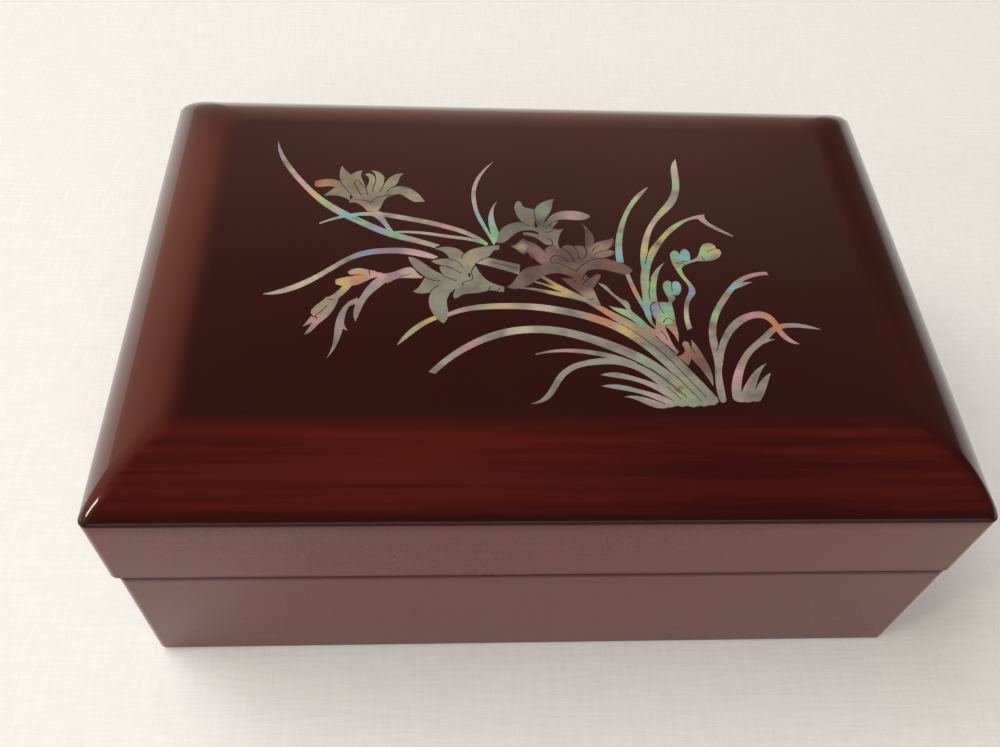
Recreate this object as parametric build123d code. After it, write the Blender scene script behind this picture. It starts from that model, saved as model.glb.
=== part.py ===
from build123d import *
import os
from math import radians, tan

# Lacquered jewellery box with a hinged lid, inlaid with orchids in mother-of-pearl.
# Millimetres. X runs along the front, Y to the back, Z up. The origin is on the
# surface that the box stands on, below the middle of the closed lid.

# ---- driving dimensions --------------------------------------------------------------
LID_LEFT, LID_RIGHT = -90.5, 90.5
BASE_LEFT, BASE_RIGHT = -89.5, 90.5      # the lid oversails the base by 1 mm at the left end
FRONT, BACK = -62.0, 62.0
FELT = 0.6                               # felt sheet under the base
SEAM_LOW, SEAM_HIGH = 41.0, 41.3         # rim of the base, rim of the lid
BOARD_UNDERSIDE = 62.5                   # the lid's top board sits on its four rails
ARRIS = 64.5                             # where the lid's upright face meets its shoulder
TOP = 75.0
SHOULDER_WIDTH = 18.0                    # the shoulder's arc starts level with the flat top
CORNER_RADIUS = 2.0
RIM_RADIUS = 0.8
CAVITY_LEFT, CAVITY_RIGHT = -80.5, 81.5
CAVITY_FRONT, CAVITY_BACK = -53.0, 53.0
FLOOR_PANEL = 4.0
LINER = 1.5                              # card covered with velvet
FLOOR_PAD = 2.0
FELT_INSET = 1.5
LINING_SET_BACK = 0.5                    # the linings stop short of both rims

# Tray that lifts out
TRAY_GAP = 0.5                           # play between the tray and the liners, left, right and back
TRAY_FRONT_GAP = 1.7                     # the front gap is wider, so a lifted tray clears the lid
TRAY_SEAT = 24.0
TRAY_TOP = 39.5
TRAY_WALL = 3.0
TRAY_FLOOR = 2.0
LEDGE = 3.0
RING_BAY = 52.0
ROLL_COUNT = 7
ROLL_END_GAP = 0.4
ROLL_DROP = 0.7                          # the rolls end below the tray's rim
ROLL_SPACE = 0.5
ROLL_TOP_ROUND = 6.0
TRAY_PAD, PAD_PLAY = 1.5, 0.3
DIVIDER_DROP = 1.0
TAB_WIDTH, TAB_THICK, TAB_DROP, TAB_RISE = 12.0, 0.6, 8.0, 1.0

# Mirror in the lid
MIRROR_LENGTH, MIRROR_WIDTH, MIRROR_THICK = 130.0, 76.0, 1.5
MIRROR_BACKING = 2.0
SURROUND_GAP = 0.3

# Butt hinges
HINGE_Y = 59.5
HINGE_Z = (SEAM_LOW + SEAM_HIGH) / 2
HINGE_X = (-52.0, 52.0)
OPENING_ANGLE = 100.0
STOP_ANGLE = OPENING_ANGLE / 2 + 0.3     # slope of the two chamfers that meet when it is open
HINGE_LENGTH = 24.0
KNUCKLES = 5
KNUCKLE_GAP = 0.15
BARREL_RADIUS = 1.5
PIN_RADIUS, PIN_BORE = 0.65, 0.70
PIN_EXTRA = 0.4
LEAF_THICK = 0.9
LEAF_WIDTH = 5.5
NOTCH_PLAY, RECESS_PLAY = 0.12, 0.2
SCREW_X = (-8.0, 0.0, 8.0)
SCREW_INSET = 3.6
SCREW_HEAD, SCREW_SHANK, SCREW_LENGTH = 1.5, 0.75, 8.0
SLOT_WIDTH, SLOT_DEPTH = 0.35, 0.3

# Inlay
SHELL_THICK = 0.5
SHELL_PROUD = 0.05
LINE_WIDTH = 0.2                         # engraved lines between petals
SMALLEST_CHIP = 0.3                      # square millimetres; a smaller crumb of shell is left out

# ---- values that follow --------------------------------------------------------------
LID_LENGTH = LID_RIGHT - LID_LEFT
DEPTH = BACK - FRONT
SHOULDER_DROP = TOP - ARRIS
SHOULDER_RADIUS = (SHOULDER_WIDTH**2 + SHOULDER_DROP**2) / (2 * SHOULDER_DROP)
LINED_LEFT, LINED_RIGHT = CAVITY_LEFT + LINER, CAVITY_RIGHT - LINER
LINED_FRONT, LINED_BACK = CAVITY_FRONT + LINER, CAVITY_BACK - LINER
FLOOR_TOP = FELT + FLOOR_PANEL
TRAY_LEFT, TRAY_RIGHT = LINED_LEFT + TRAY_GAP, LINED_RIGHT - TRAY_GAP
TRAY_FRONT, TRAY_BACK = LINED_FRONT + TRAY_FRONT_GAP, LINED_BACK - TRAY_GAP
TRAY_INSIDE = TRAY_SEAT + TRAY_FLOOR
BAY_LEFT, BAY_RIGHT = TRAY_LEFT + TRAY_WALL, TRAY_RIGHT - TRAY_WALL
BAY_FRONT, BAY_BACK = TRAY_FRONT + TRAY_WALL, TRAY_BACK - TRAY_WALL
CROSS_LEFT = BAY_LEFT + RING_BAY
CROSS_RIGHT = CROSS_LEFT + TRAY_WALL
LONG_FRONT = (BAY_FRONT + BAY_BACK - TRAY_WALL) / 2
LONG_BACK = LONG_FRONT + TRAY_WALL
SHORT_LEFT = (CROSS_RIGHT + BAY_RIGHT - TRAY_WALL) / 2
SHORT_RIGHT = SHORT_LEFT + TRAY_WALL
MIRROR_TOP = BOARD_UNDERSIDE - MIRROR_BACKING
MIRROR_X = (LINED_LEFT + LINED_RIGHT) / 2

nodes = {}


# ---- plain shapes --------------------------------------------------------------------
def block(x0, x1, y0, y1, z0, z1):
    """A box given by its six faces."""
    return Pos((x0 + x1) / 2, (y0 + y1) / 2, (z0 + z1) / 2) * Box(x1 - x0, y1 - y0, z1 - z0)


def rod(x0, x1, y, z, radius):
    """A round bar along X."""
    return Pos((x0 + x1) / 2, y, z) * Rot(0, 90, 0) * Cylinder(radius, x1 - x0)


def prism(points, z0, z1):
    """A flat outline with straight sides, raised from z0 to z1."""
    outline = make_face(Polyline(*points, close=True))
    return extrude(Pos(0, 0, z0) * outline, z1 - z0)


def softened(x0, x1, z0, z1, ends):
    """The outside of one half of the box: round upright corners and round rims at the given ends."""
    solid = block(x0, x1, FRONT, BACK, z0, z1)
    solid = fillet(solid.edges().filter_by(Axis.Z), CORNER_RADIUS)
    for z in ends:
        rim = solid.edges().filter_by_position(Axis.Z, z - 0.01, z + 0.01)
        solid = fillet(rim, RIM_RADIUS)
    return solid


def mitred_boards(envelope, left, right, z0, z1):
    """The four boards of a box side, cut from its outside by mitres to the cavity's corners."""
    outer = [(left, FRONT), (right, FRONT), (right, BACK), (left, BACK)]
    inner = [(CAVITY_LEFT, CAVITY_FRONT), (CAVITY_RIGHT, CAVITY_FRONT),
             (CAVITY_RIGHT, CAVITY_BACK), (CAVITY_LEFT, CAVITY_BACK)]
    boards = []
    for side in range(4):
        after = (side + 1) % 4
        outline = [outer[side], outer[after], inner[after], inner[side]]
        boards.append(envelope & prism(outline, z0, z1))
    return boards


# ---- hinges --------------------------------------------------------------------------
def knuckle_spans(x, owner):
    """The X spans of the knuckles that belong to one leaf: owner 0 has the outer ones."""
    pitch = HINGE_LENGTH / KNUCKLES
    start = x - HINGE_LENGTH / 2
    spans = []
    for index in range(owner, KNUCKLES, 2):
        low = start + index * pitch + (KNUCKLE_GAP / 2 if index > 0 else 0)
        high = start + (index + 1) * pitch - (KNUCKLE_GAP / 2 if index < KNUCKLES - 1 else 0)
        spans.append((low, high))
    return spans


def screw(x, direction):
    """A countersunk wood screw; direction is -1 when it is driven down, 1 when driven up."""
    face = SEAM_LOW if direction < 0 else SEAM_HIGH
    y = HINGE_Y - SCREW_INSET
    depth = SCREW_HEAD - SCREW_SHANK
    cone = Cone(SCREW_SHANK, SCREW_HEAD, depth, align=(Align.CENTER, Align.CENTER, Align.MAX))
    shank = Cylinder(SCREW_SHANK, SCREW_LENGTH, align=(Align.CENTER, Align.CENTER, Align.MAX))
    body = cone + shank
    body -= Box(2 * SCREW_HEAD, SLOT_WIDTH, 2 * SLOT_DEPTH)
    if direction > 0:
        body = Rot(180, 0, 0) * body
    return Pos(x, y, face) * body


def screw_hole(x, direction):
    """The space that a screw fills, its slot included."""
    face = SEAM_LOW if direction < 0 else SEAM_HIGH
    slot = Pos(x, HINGE_Y - SCREW_INSET, face + direction * SLOT_DEPTH / 2)
    return screw(x, direction) + slot * Box(SCREW_HEAD, SLOT_WIDTH, SLOT_DEPTH)


def leaf_plate(x, direction):
    """The flat of one leaf, let into the rim until it is flush."""
    low = SEAM_LOW - LEAF_THICK if direction < 0 else SEAM_HIGH
    half = HINGE_LENGTH / 2
    return block(x - half, x + half, HINGE_Y - LEAF_WIDTH, HINGE_Y, low, low + LEAF_THICK)


def hinge_leaf(x, owner, direction):
    """One leaf with its knuckles, notched round the other leaf's knuckles and countersunk."""
    leaf = leaf_plate(x, direction)
    for low, high in knuckle_spans(x, 1 - owner):
        leaf -= rod(low - KNUCKLE_GAP, high + KNUCKLE_GAP, HINGE_Y, HINGE_Z, BARREL_RADIUS + NOTCH_PLAY)
    for low, high in knuckle_spans(x, owner):
        leaf += rod(low, high, HINGE_Y, HINGE_Z, BARREL_RADIUS)
    leaf -= rod(x - HINGE_LENGTH, x + HINGE_LENGTH, HINGE_Y, HINGE_Z, PIN_BORE)
    for offset in SCREW_X:
        leaf -= screw_hole(x + offset, direction)
    return leaf


def hinge_room(x, direction):
    """What is cut from a wooden rim for one hinge: mortise, barrel recess and screw holes."""
    half = HINGE_LENGTH / 2
    room = leaf_plate(x, direction)
    room += rod(x - half - PIN_EXTRA, x + half + PIN_EXTRA, HINGE_Y, HINGE_Z,
                BARREL_RADIUS + RECESS_PLAY)
    for offset in SCREW_X:
        room += screw(x + offset, direction)
    return room


def stop_groove(direction):
    """The long chamfer on a back edge; the two chamfers meet and stop the open lid."""
    reach = BACK - HINGE_Y + 1
    rise = reach * tan(radians(STOP_ANGLE))
    face = SEAM_LOW if direction < 0 else SEAM_HIGH
    corners = [(HINGE_Y, face), (HINGE_Y + reach, face), (HINGE_Y + reach, face + direction * rise)]
    outline = make_face(Polyline(*corners, close=True))
    wedge = extrude(Plane.YZ * outline, LID_LENGTH, both=True)
    return wedge


# ---- base ----------------------------------------------------------------------------
base_outside = softened(BASE_LEFT, BASE_RIGHT, FELT, SEAM_LOW, (FELT, SEAM_LOW))
base_front, base_right, base_back, base_left = mitred_boards(
    base_outside, BASE_LEFT, BASE_RIGHT, FELT, SEAM_LOW)
base_groove = stop_groove(-1)
base_back -= base_groove
base_left -= base_groove
base_right -= base_groove
for hinge_x in HINGE_X:
    base_back -= hinge_room(hinge_x, -1)
nodes["base_front_wall"] = base_front
nodes["base_back_wall"] = base_back
nodes["base_left_wall"] = base_left
nodes["base_right_wall"] = base_right
nodes["base_floor_panel"] = block(CAVITY_LEFT, CAVITY_RIGHT, CAVITY_FRONT, CAVITY_BACK, FELT, FLOOR_TOP)

felt_sheet = block(BASE_LEFT + FELT_INSET, BASE_RIGHT - FELT_INSET,
                   FRONT + FELT_INSET, BACK - FELT_INSET, 0, FELT)
nodes["base_felt"] = fillet(felt_sheet.edges().filter_by(Axis.Z), CORNER_RADIUS)


def lining(z0, z1):
    """Four lining boards round the cavity; the front and back ones run between the ends."""
    return {
        "front": block(LINED_LEFT, LINED_RIGHT, CAVITY_FRONT, LINED_FRONT, z0, z1),
        "back": block(LINED_LEFT, LINED_RIGHT, LINED_BACK, CAVITY_BACK, z0, z1),
        "left": block(CAVITY_LEFT, LINED_LEFT, CAVITY_FRONT, CAVITY_BACK, z0, z1),
        "right": block(LINED_RIGHT, CAVITY_RIGHT, CAVITY_FRONT, CAVITY_BACK, z0, z1),
    }


for side, board in lining(FLOOR_TOP, SEAM_LOW - LINING_SET_BACK).items():
    nodes["base_liner_" + side] = board
LEDGE_FOOT = FLOOR_TOP + FLOOR_PAD
nodes["base_floor_pad"] = block(
    LINED_LEFT, LINED_RIGHT, LINED_FRONT, LINED_BACK, FLOOR_TOP, LEDGE_FOOT)
nodes["tray_ledge_front"] = block(
    LINED_LEFT, LINED_RIGHT, LINED_FRONT, LINED_FRONT + LEDGE, LEDGE_FOOT, TRAY_SEAT)
nodes["tray_ledge_back"] = block(
    LINED_LEFT, LINED_RIGHT, LINED_BACK - LEDGE, LINED_BACK, LEDGE_FOOT, TRAY_SEAT)

# ---- tray ----------------------------------------------------------------------------
nodes["tray_floor"] = block(TRAY_LEFT, TRAY_RIGHT, TRAY_FRONT, TRAY_BACK, TRAY_SEAT, TRAY_INSIDE)
nodes["tray_front_wall"] = block(TRAY_LEFT, TRAY_RIGHT, TRAY_FRONT, BAY_FRONT, TRAY_INSIDE, TRAY_TOP)
nodes["tray_back_wall"] = block(TRAY_LEFT, TRAY_RIGHT, BAY_BACK, TRAY_BACK, TRAY_INSIDE, TRAY_TOP)
nodes["tray_left_wall"] = block(TRAY_LEFT, BAY_LEFT, BAY_FRONT, BAY_BACK, TRAY_INSIDE, TRAY_TOP)
nodes["tray_right_wall"] = block(BAY_RIGHT, TRAY_RIGHT, BAY_FRONT, BAY_BACK, TRAY_INSIDE, TRAY_TOP)
DIVIDER_TOP = TRAY_TOP - DIVIDER_DROP
nodes["tray_divider_cross"] = block(
    CROSS_LEFT, CROSS_RIGHT, BAY_FRONT, BAY_BACK, TRAY_INSIDE, DIVIDER_TOP)
nodes["tray_divider_long"] = block(
    CROSS_RIGHT, BAY_RIGHT, LONG_FRONT, LONG_BACK, TRAY_INSIDE, DIVIDER_TOP)
nodes["tray_divider_short"] = block(
    SHORT_LEFT, SHORT_RIGHT, LONG_BACK, BAY_BACK, TRAY_INSIDE, DIVIDER_TOP)

pad_bays = (
    (CROSS_RIGHT, BAY_RIGHT, BAY_FRONT, LONG_FRONT),
    (CROSS_RIGHT, SHORT_LEFT, LONG_BACK, BAY_BACK),
    (SHORT_RIGHT, BAY_RIGHT, LONG_BACK, BAY_BACK),
)
pad_solids = []
for x0, x1, y0, y1 in pad_bays:
    pad_solids += block(x0 + PAD_PLAY, x1 - PAD_PLAY, y0 + PAD_PLAY, y1 - PAD_PLAY,
                        TRAY_INSIDE, TRAY_INSIDE + TRAY_PAD).solids()
nodes["tray_pads"] = Compound(children=pad_solids)

roll_pitch = (BAY_BACK - BAY_FRONT) / ROLL_COUNT
roll_low_x, roll_high_x = BAY_LEFT + TAB_THICK + ROLL_END_GAP, CROSS_LEFT - ROLL_END_GAP
for roll in range(ROLL_COUNT):
    y0 = BAY_FRONT + roll * roll_pitch + ROLL_SPACE / 2
    y1 = y0 + roll_pitch - ROLL_SPACE
    body = block(roll_low_x, roll_high_x, y0, y1, TRAY_INSIDE, TRAY_TOP - ROLL_DROP)
    long_edges = body.edges().filter_by(Axis.X)
    body = fillet(long_edges.group_by(Axis.Z)[-1], ROLL_TOP_ROUND)
    nodes[f"ring_roll_{roll + 1}"] = body



def pull_tab(x, y):
    """A ribbon tab that stands against an end wall, with its left face at x."""
    return block(x, x + TAB_THICK, y - TAB_WIDTH / 2, y + TAB_WIDTH / 2,
                 TRAY_TOP - TAB_DROP, TRAY_TOP + TAB_RISE)


nodes["tray_pull_tab_left"] = pull_tab(BAY_LEFT, (BAY_FRONT + BAY_BACK) / 2)
nodes["tray_pull_tab_right"] = pull_tab(BAY_RIGHT - TAB_THICK, (BAY_FRONT + LONG_FRONT) / 2)

# ---- lid -----------------------------------------------------------------------------
lid_outside = softened(LID_LEFT, LID_RIGHT, SEAM_HIGH, TOP, (SEAM_HIGH,))
lid_front, lid_right, lid_back, lid_left = mitred_boards(
    lid_outside, LID_LEFT, LID_RIGHT, SEAM_HIGH, BOARD_UNDERSIDE)
lid_groove = stop_groove(1)
lid_back -= lid_groove
lid_left -= lid_groove
lid_right -= lid_groove
for hinge_x in HINGE_X:
    lid_back -= hinge_room(hinge_x, 1)
nodes["lid_front_rail"] = lid_front
nodes["lid_back_rail"] = lid_back
nodes["lid_left_rail"] = lid_left
nodes["lid_right_rail"] = lid_right


def shouldered_profile(low, high):
    """Cross-section of the top board: a flat top that rolls down to the arris at both ends."""
    arc_low = RadiusArc((low, ARRIS), (low + SHOULDER_WIDTH, TOP), SHOULDER_RADIUS)
    arc_high = RadiusArc((high - SHOULDER_WIDTH, TOP), (high, ARRIS), SHOULDER_RADIUS)
    outline = [
        Line((low, BOARD_UNDERSIDE), (low, ARRIS)),
        arc_low,
        Line((low + SHOULDER_WIDTH, TOP), (high - SHOULDER_WIDTH, TOP)),
        arc_high,
        Line((high, ARRIS), (high, BOARD_UNDERSIDE)),
        Line((high, BOARD_UNDERSIDE), (low, BOARD_UNDERSIDE)),
    ]
    return make_face(Curve() + outline)


along_x = extrude(Plane.XZ * shouldered_profile(LID_LEFT, LID_RIGHT), DEPTH, both=True)
along_y = extrude(Plane.YZ * shouldered_profile(FRONT, BACK), LID_LENGTH, both=True)
top_board = lid_outside & along_x & along_y
top_board &= block(LID_LEFT, LID_RIGHT, FRONT, BACK, BOARD_UNDERSIDE, TOP)

LINING_RISE = SEAM_HIGH + LINING_SET_BACK
for side, board in lining(LINING_RISE, BOARD_UNDERSIDE).items():
    nodes["lid_liner_" + side] = board
nodes["mirror_backing"] = block(
    LINED_LEFT, LINED_RIGHT, LINED_FRONT, LINED_BACK, MIRROR_TOP, BOARD_UNDERSIDE)
glass_low = MIRROR_TOP - MIRROR_THICK
half_length, half_width = MIRROR_LENGTH / 2, MIRROR_WIDTH / 2
nodes["mirror_glass"] = block(MIRROR_X - half_length, MIRROR_X + half_length, -half_width, half_width,
                              glass_low, MIRROR_TOP)
window = block(MIRROR_X - half_length - SURROUND_GAP, MIRROR_X + half_length + SURROUND_GAP,
               -half_width - SURROUND_GAP, half_width + SURROUND_GAP, glass_low, MIRROR_TOP)
surround = block(LINED_LEFT, LINED_RIGHT, LINED_FRONT, LINED_BACK, glass_low, MIRROR_TOP)
nodes["mirror_surround"] = surround - window

# ---- hinges in place -----------------------------------------------------------------
for side, hinge_x in zip(("left", "right"), HINGE_X):
    nodes[f"hinge_{side}_base_leaf"] = hinge_leaf(hinge_x, 0, -1)
    nodes[f"hinge_{side}_lid_leaf"] = hinge_leaf(hinge_x, 1, 1)
    half_pin = (HINGE_LENGTH + PIN_EXTRA) / 2
    nodes[f"hinge_{side}_pin"] = rod(
        hinge_x - half_pin, hinge_x + half_pin, HINGE_Y, HINGE_Z, PIN_RADIUS)
for half, direction in (("base", -1), ("lid", 1)):
    screws = []
    for hinge_x in HINGE_X:
        for offset in SCREW_X:
            screws += screw(hinge_x + offset, direction).solids()
    nodes[f"hinge_{half}_screws"] = Compound(children=screws)

# ---- inlay: how a shell piece is drawn -----------------------------------------------
def smooth(points):
    """A smooth edge through hand-set points; two points make it straight."""
    return Line(*points) if len(points) == 2 else Spline(*points)


def facing_up(face):
    """The same flat piece with its face upwards, so that pieces join without a seam."""
    return face if face.normal_at().Z > 0 else -face


def petal(one_edge, other_edge):
    """A flat piece between two smooth edges, closed by straight ends where they don't meet."""
    edges = [smooth(one_edge), smooth(other_edge)]
    for one_end, other_end in ((one_edge[0], other_edge[0]), (one_edge[-1], other_edge[-1])):
        if one_end != other_end:
            edges.append(Line(one_end, other_end))
    return facing_up(Face(Wire(edges)))


def chip(points):
    """A flat piece with straight sides."""
    return facing_up(make_face(Polyline(*points, close=True)).face())


BLADE_STATIONS = 9


def blade(spine, start, middle, end):
    """A leaf along a smooth spine; its width follows the parabola through three values."""
    line = smooth(spine)
    one_edge, other_edge = [], []
    for station in range(BLADE_STATIONS):
        t = station / (BLADE_STATIONS - 1)
        width = start * (1 - t) * (1 - 2 * t) + 4 * middle * t * (1 - t) + end * t * (2 * t - 1)
        along = line % t
        across = Vector(-along.Y, along.X) * (width / 2)
        one_edge.append(tuple(line @ t + across)[:2])
        other_edge.append(tuple(line @ t - across)[:2])
    if start == 0:
        one_edge[0] = other_edge[0] = spine[0]
    if end == 0:
        one_edge[-1] = other_edge[-1] = spine[-1]
    return petal(one_edge, other_edge)


def engraved(points):
    """A line cut between petals, of even width."""
    return blade(points, LINE_WIDTH, LINE_WIDTH, LINE_WIDTH)


def motif(pieces, lines=(), behind=()):
    """One group of shell pieces: joined pieces, less the motifs they pass behind."""
    outline = Sketch() + list(pieces)
    for front_motif in behind:
        outline -= front_motif[0]
    shell = outline
    if lines:
        shell = outline - (Sketch() + [engraved(points) for points in lines])
    whole = [face for face in shell.faces() if face.area > SMALLEST_CHIP]
    return outline, Sketch() + whole


# ---- inlay: blossoms -----------------------------------------------------------------
blossom_left = motif(
    [
        petal([(-51.3, 22.6), (-49.2, 23.4), (-47, 23.4), (-45, 22.4), (-42.6, 18.6)],
              [(-51.2, 21.1), (-49, 20.9), (-47.6, 21.1), (-46.2, 20.6), (-43.4, 17)]),
        petal([(-49, 17.9), (-47.6, 19.5), (-46.2, 20.8), (-43, 19.4)],
              [(-49, 17.9), (-46.5, 18), (-44.4, 17.5), (-42.8, 16.2)]),
        petal([(-45.3, 28.3), (-45.7, 26), (-45.3, 22.8), (-44, 20.2), (-42, 17.4)],
              [(-45.3, 28.3), (-44.4, 26.7), (-42.9, 24.9), (-41.6, 21), (-40.6, 17)]),
        petal([(-40.3, 26.6), (-42, 26.1), (-43.2, 24.6), (-42.6, 21), (-41.4, 17)],
              [(-40.3, 26.6), (-40.7, 25.3), (-40.2, 23.2), (-39.3, 20.8), (-38.6, 17)]),
        petal([(-39.8, 25.2), (-38.9, 24.3), (-38.7, 22.8), (-39.1, 21.2), (-39.2, 19), (-38.8, 17)],
              [(-39.8, 25.2), (-39, 25.7), (-38, 25.3), (-37.3, 23.8), (-37.4, 21), (-37.6, 17)]),
        petal([(-38.4, 26.7), (-37.4, 25.4), (-37.1, 23.8), (-37.5, 20.5), (-38, 17)],
              [(-38.4, 26.7), (-36.6, 26.2), (-35.3, 24.7), (-35.2, 21.8), (-36.4, 17)]),
        petal([(-30.6, 25.8), (-33, 25.2), (-34.6, 23.2), (-35.6, 20.6), (-37, 17)],
              [(-30.6, 25.8), (-31.7, 23.8), (-32.2, 22.1), (-33.4, 20.6), (-35, 17)]),
        petal([(-25.5, 16.4), (-26.9, 18.7), (-29.2, 20.8), (-32.2, 21.3), (-34.6, 19.4),
               (-37, 17.4)],
              [(-27.8, 16.2), (-29.6, 17.5), (-31.3, 18.7), (-33.5, 18.1), (-36, 16)]),
        petal([(-43, 15.7), (-41.2, 15.6), (-39.8, 14.5), (-38.6, 12.9)],
              [(-42.8, 16.6), (-40, 18), (-38, 17.4), (-37.4, 12.9)]),
        petal([(-33.4, 18.2), (-35, 16.4), (-35.6, 14.4), (-36.4, 12.9)],
              [(-33.9, 18.9), (-37, 18.4), (-39, 17), (-38.4, 12.9)]),
    ],
    lines=[
        [(-45.5, 23), (-44.9, 21.8), (-43.8, 20), (-42.5, 18.4)],
        [(-40.2, 18.1), (-41, 19.6), (-41.8, 21.6), (-42, 22.9), (-41.6, 23.5), (-40.8, 22.5),
         (-39.7, 21),
         (-39.2, 20.4)],
        [(-39.4, 21.1), (-39.1, 19.6), (-38.8, 18.3)],
        [(-37.8, 25.3), (-37.2, 24), (-37.3, 22.4), (-37.6, 19.2)],
        [(-35.1, 23.8), (-35.2, 22), (-36.1, 19.3)],
        [(-32.7, 21.4), (-33.6, 20.7), (-34.3, 19.5)],
        [(-41.7, 16.7), (-40.6, 16.6), (-39.4, 16.5), (-38.1, 15.8)],
        [(-38.1, 15.8), (-37, 17.1), (-35.4, 18), (-33.3, 18.4)],
    ],
)

blossom_front = motif(
    [
        petal([(-23.2, 1.25), (-21.6, 1.85), (-19.6, 1.9), (-17.8, 1.2), (-16.4, -0.6), (-16.2, -6)],
              [(-23.2, 1.25), (-21.6, 0.7), (-20.4, -0.5), (-19.8, -2), (-18.6, -6)]),
        petal([(-8.6, 2.7), (-10.6, 2.4), (-13.6, 1.8), (-15.8, 0.6), (-17.2, -1.6), (-17.6, -6)],
              [(-8.8, 1.3), (-9.8, 1.1), (-10.7, -0.2), (-12, -1.5), (-13.9, -3), (-15, -6)]),
        petal([(-14, -3.9), (-12.9, -6.3), (-11.2, -8.3), (-9.6, -9.2), (-8, -9.8)],
              [(-14.4, -3.6), (-15.2, -6), (-15.3, -8), (-13, -10), (-8.1, -11.3)]),
        petal([(-15.4, -7), (-13.2, -9), (-11, -9.6), (-9, -9.8)],
              [(-18.8, -13.3), (-16.6, -12), (-13, -11.4), (-11.8, -11), (-9, -11.3)]),
        petal([(-18.8, -13.3), (-19.1, -12.4), (-18.7, -10.9), (-19.4, -8)],
              [(-18.8, -13.3), (-17, -12.1), (-15.5, -10), (-14.8, -7)]),
        petal([(-22.3, -9.6), (-23.6, -11), (-24.3, -13.6), (-23.6, -17.2), (-21.2, -20.2)],
              [(-17, -8), (-19.4, -11.4), (-20.4, -13.4), (-20.2, -17), (-21.2, -20.2)]),
        petal([(-27.8, -11.3), (-26.4, -9.9), (-25.7, -8.3), (-24.9, -6.8), (-21.6, -6.6)],
              [(-27.8, -11.3), (-26, -11.9), (-24, -11.6), (-21.4, -10.6)]),
        petal([(-29, -1.2), (-26.7, -2.1), (-24.8, -3.8), (-22.2, -5.9), (-19, -6.6)],
              [(-29, -1.2), (-28, -3.8), (-26.3, -6), (-24, -8), (-20, -9.6)]),
        petal([(-23.9, -2.4), (-21.6, -1.7), (-19.2, -1.9), (-17.4, -3.4), (-16, -6)],
              [(-23.9, -2.4), (-22, -3.5), (-20, -4), (-18, -5.6), (-17, -7)]),
        petal([(-22, -4), (-20.4, -4), (-18.6, -4.9), (-16.6, -6)],
              [(-22, -4), (-21.6, -5.8), (-20, -7.6), (-17.6, -8.4)]),
        chip([(-22, -6.6), (-16, -5.6), (-15, -9.5), (-18.6, -10.6), (-22, -9.8)]),
    ],
    lines=[
        [(-16.5, 0.1), (-17, -0.7), (-17.3, -1.5)],
        [(-12.3, -1.5), (-13.3, -2.3), (-14.3, -3.2)],
        [(-14.1, -2.9), (-14.4, -4), (-15.1, -5.8), (-14.8, -7.6), (-16.3, -8.3), (-17, -9.7)],
        [(-20, -1.9), (-18.6, -2.2), (-17.5, -3.2), (-16.9, -4.1)],
        [(-21.9, -3.7), (-20.4, -4), (-18.9, -4.8), (-17.2, -6)],
        [(-21.8, -5.7), (-20.6, -7.1), (-19.4, -7.8), (-18.2, -8.1)],
        [(-25.4, -7), (-24.3, -7.8), (-23, -8.2), (-21.8, -8.3)],
        [(-24, -11.5), (-23.4, -10.5), (-22.2, -9.6)],
        [(-20, -12), (-19.3, -11.4), (-18.7, -10.7)],
        [(-11.6, -11), (-11.2, -10.3), (-11, -9.7)],
        [(-9.6, -11.2), (-9.2, -10.6), (-8.9, -10.2)],
    ],
)

blossom_top = motif(
    [
        petal([(-9.1, 3.4), (-8.9, 5.6), (-7.8, 8), (-5.4, 9.7), (-3.4, 9.9), (-1.6, 8.7),
               (0.6, 8.6)],
              [(-7.8, 3.4), (-6.4, 4.7), (-4.6, 6.6), (-2.4, 7.5), (-0.8, 7.3), (0.6, 6.4)]),
        petal([(-3.9, 17), (-4.7, 15.2), (-4.4, 12.8), (-3.3, 10.4), (-1.6, 8.6), (-0.6, 7)],
              [(-3.9, 17), (-3.2, 16.7), (-2.7, 15.3), (-1.6, 14.7), (-0.1, 14.2), (0, 11.6),
               (1.6, 7)]),
        petal([(4.7, 17.9), (2.2, 16.9), (0.3, 15), (-0.2, 12.4), (0.2, 9.6), (0.8, 7)],
              [(4.7, 17.9), (4.2, 16), (3.6, 13.6), (2.6, 11.7), (2.3, 9.6), (3, 7)]),
        petal([(12.9, 12.4), (10.6, 13.7), (7.6, 14), (4.6, 13.1), (2.6, 10.8), (1.6, 7.6)],
              [(12.9, 12.4), (11.4, 11.2), (9, 11), (6, 11.1), (4, 10.2), (3.1, 8.7), (3.4, 7.4)]),
        petal([(5.3, 10.6), (4.6, 9.6), (3.8, 8.4)], [(5.3, 10.6), (3.7, 9.9), (2.4, 8)]),
        petal([(-3.1, 6.6), (-1.4, 6.7), (0.6, 6.3), (2, 7.6)],
              [(-3, 6), (-1.2, 5.6), (0.6, 4.4), (1.6, 3.3), (3.2, 3)]),
        petal([(6.6, 8.5), (5.6, 7.9), (4.8, 7.8), (3.6, 8.2), (0.6, 8.2)],
              [(6.6, 8.5), (5.7, 7.2), (4.9, 4.8), (4.7, 3.1), (4.9, 1.9), (3.6, 2.4)]),
        chip([(0.2, 8.4), (4.6, 8), (4.7, 5), (4.3, 2.6), (2.2, 3.2), (0.6, 5.4)]),
    ],
    lines=[
        [(-2.6, 9.6), (-2, 9), (-1.5, 8.6)],
        [(-1.6, 7.5), (-0.4, 7.2), (0.6, 6.5)],
        [(-0.1, 14.3), (-0.2, 12.6), (0.1, 11), (1, 9.1)],
        [(3.6, 12.9), (2.7, 11.8), (2.1, 10.1)],
        [(3.9, 10.2), (3.3, 9.4), (3, 8.7)],
        [(2, 7.1), (2.9, 7), (3.6, 7.5), (4.2, 7.7)],
        [(2.4, 4.6), (2.9, 4.9), (3.3, 4.3), (3.5, 3.2), (4.2, 2.4)],
    ],
)

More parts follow.
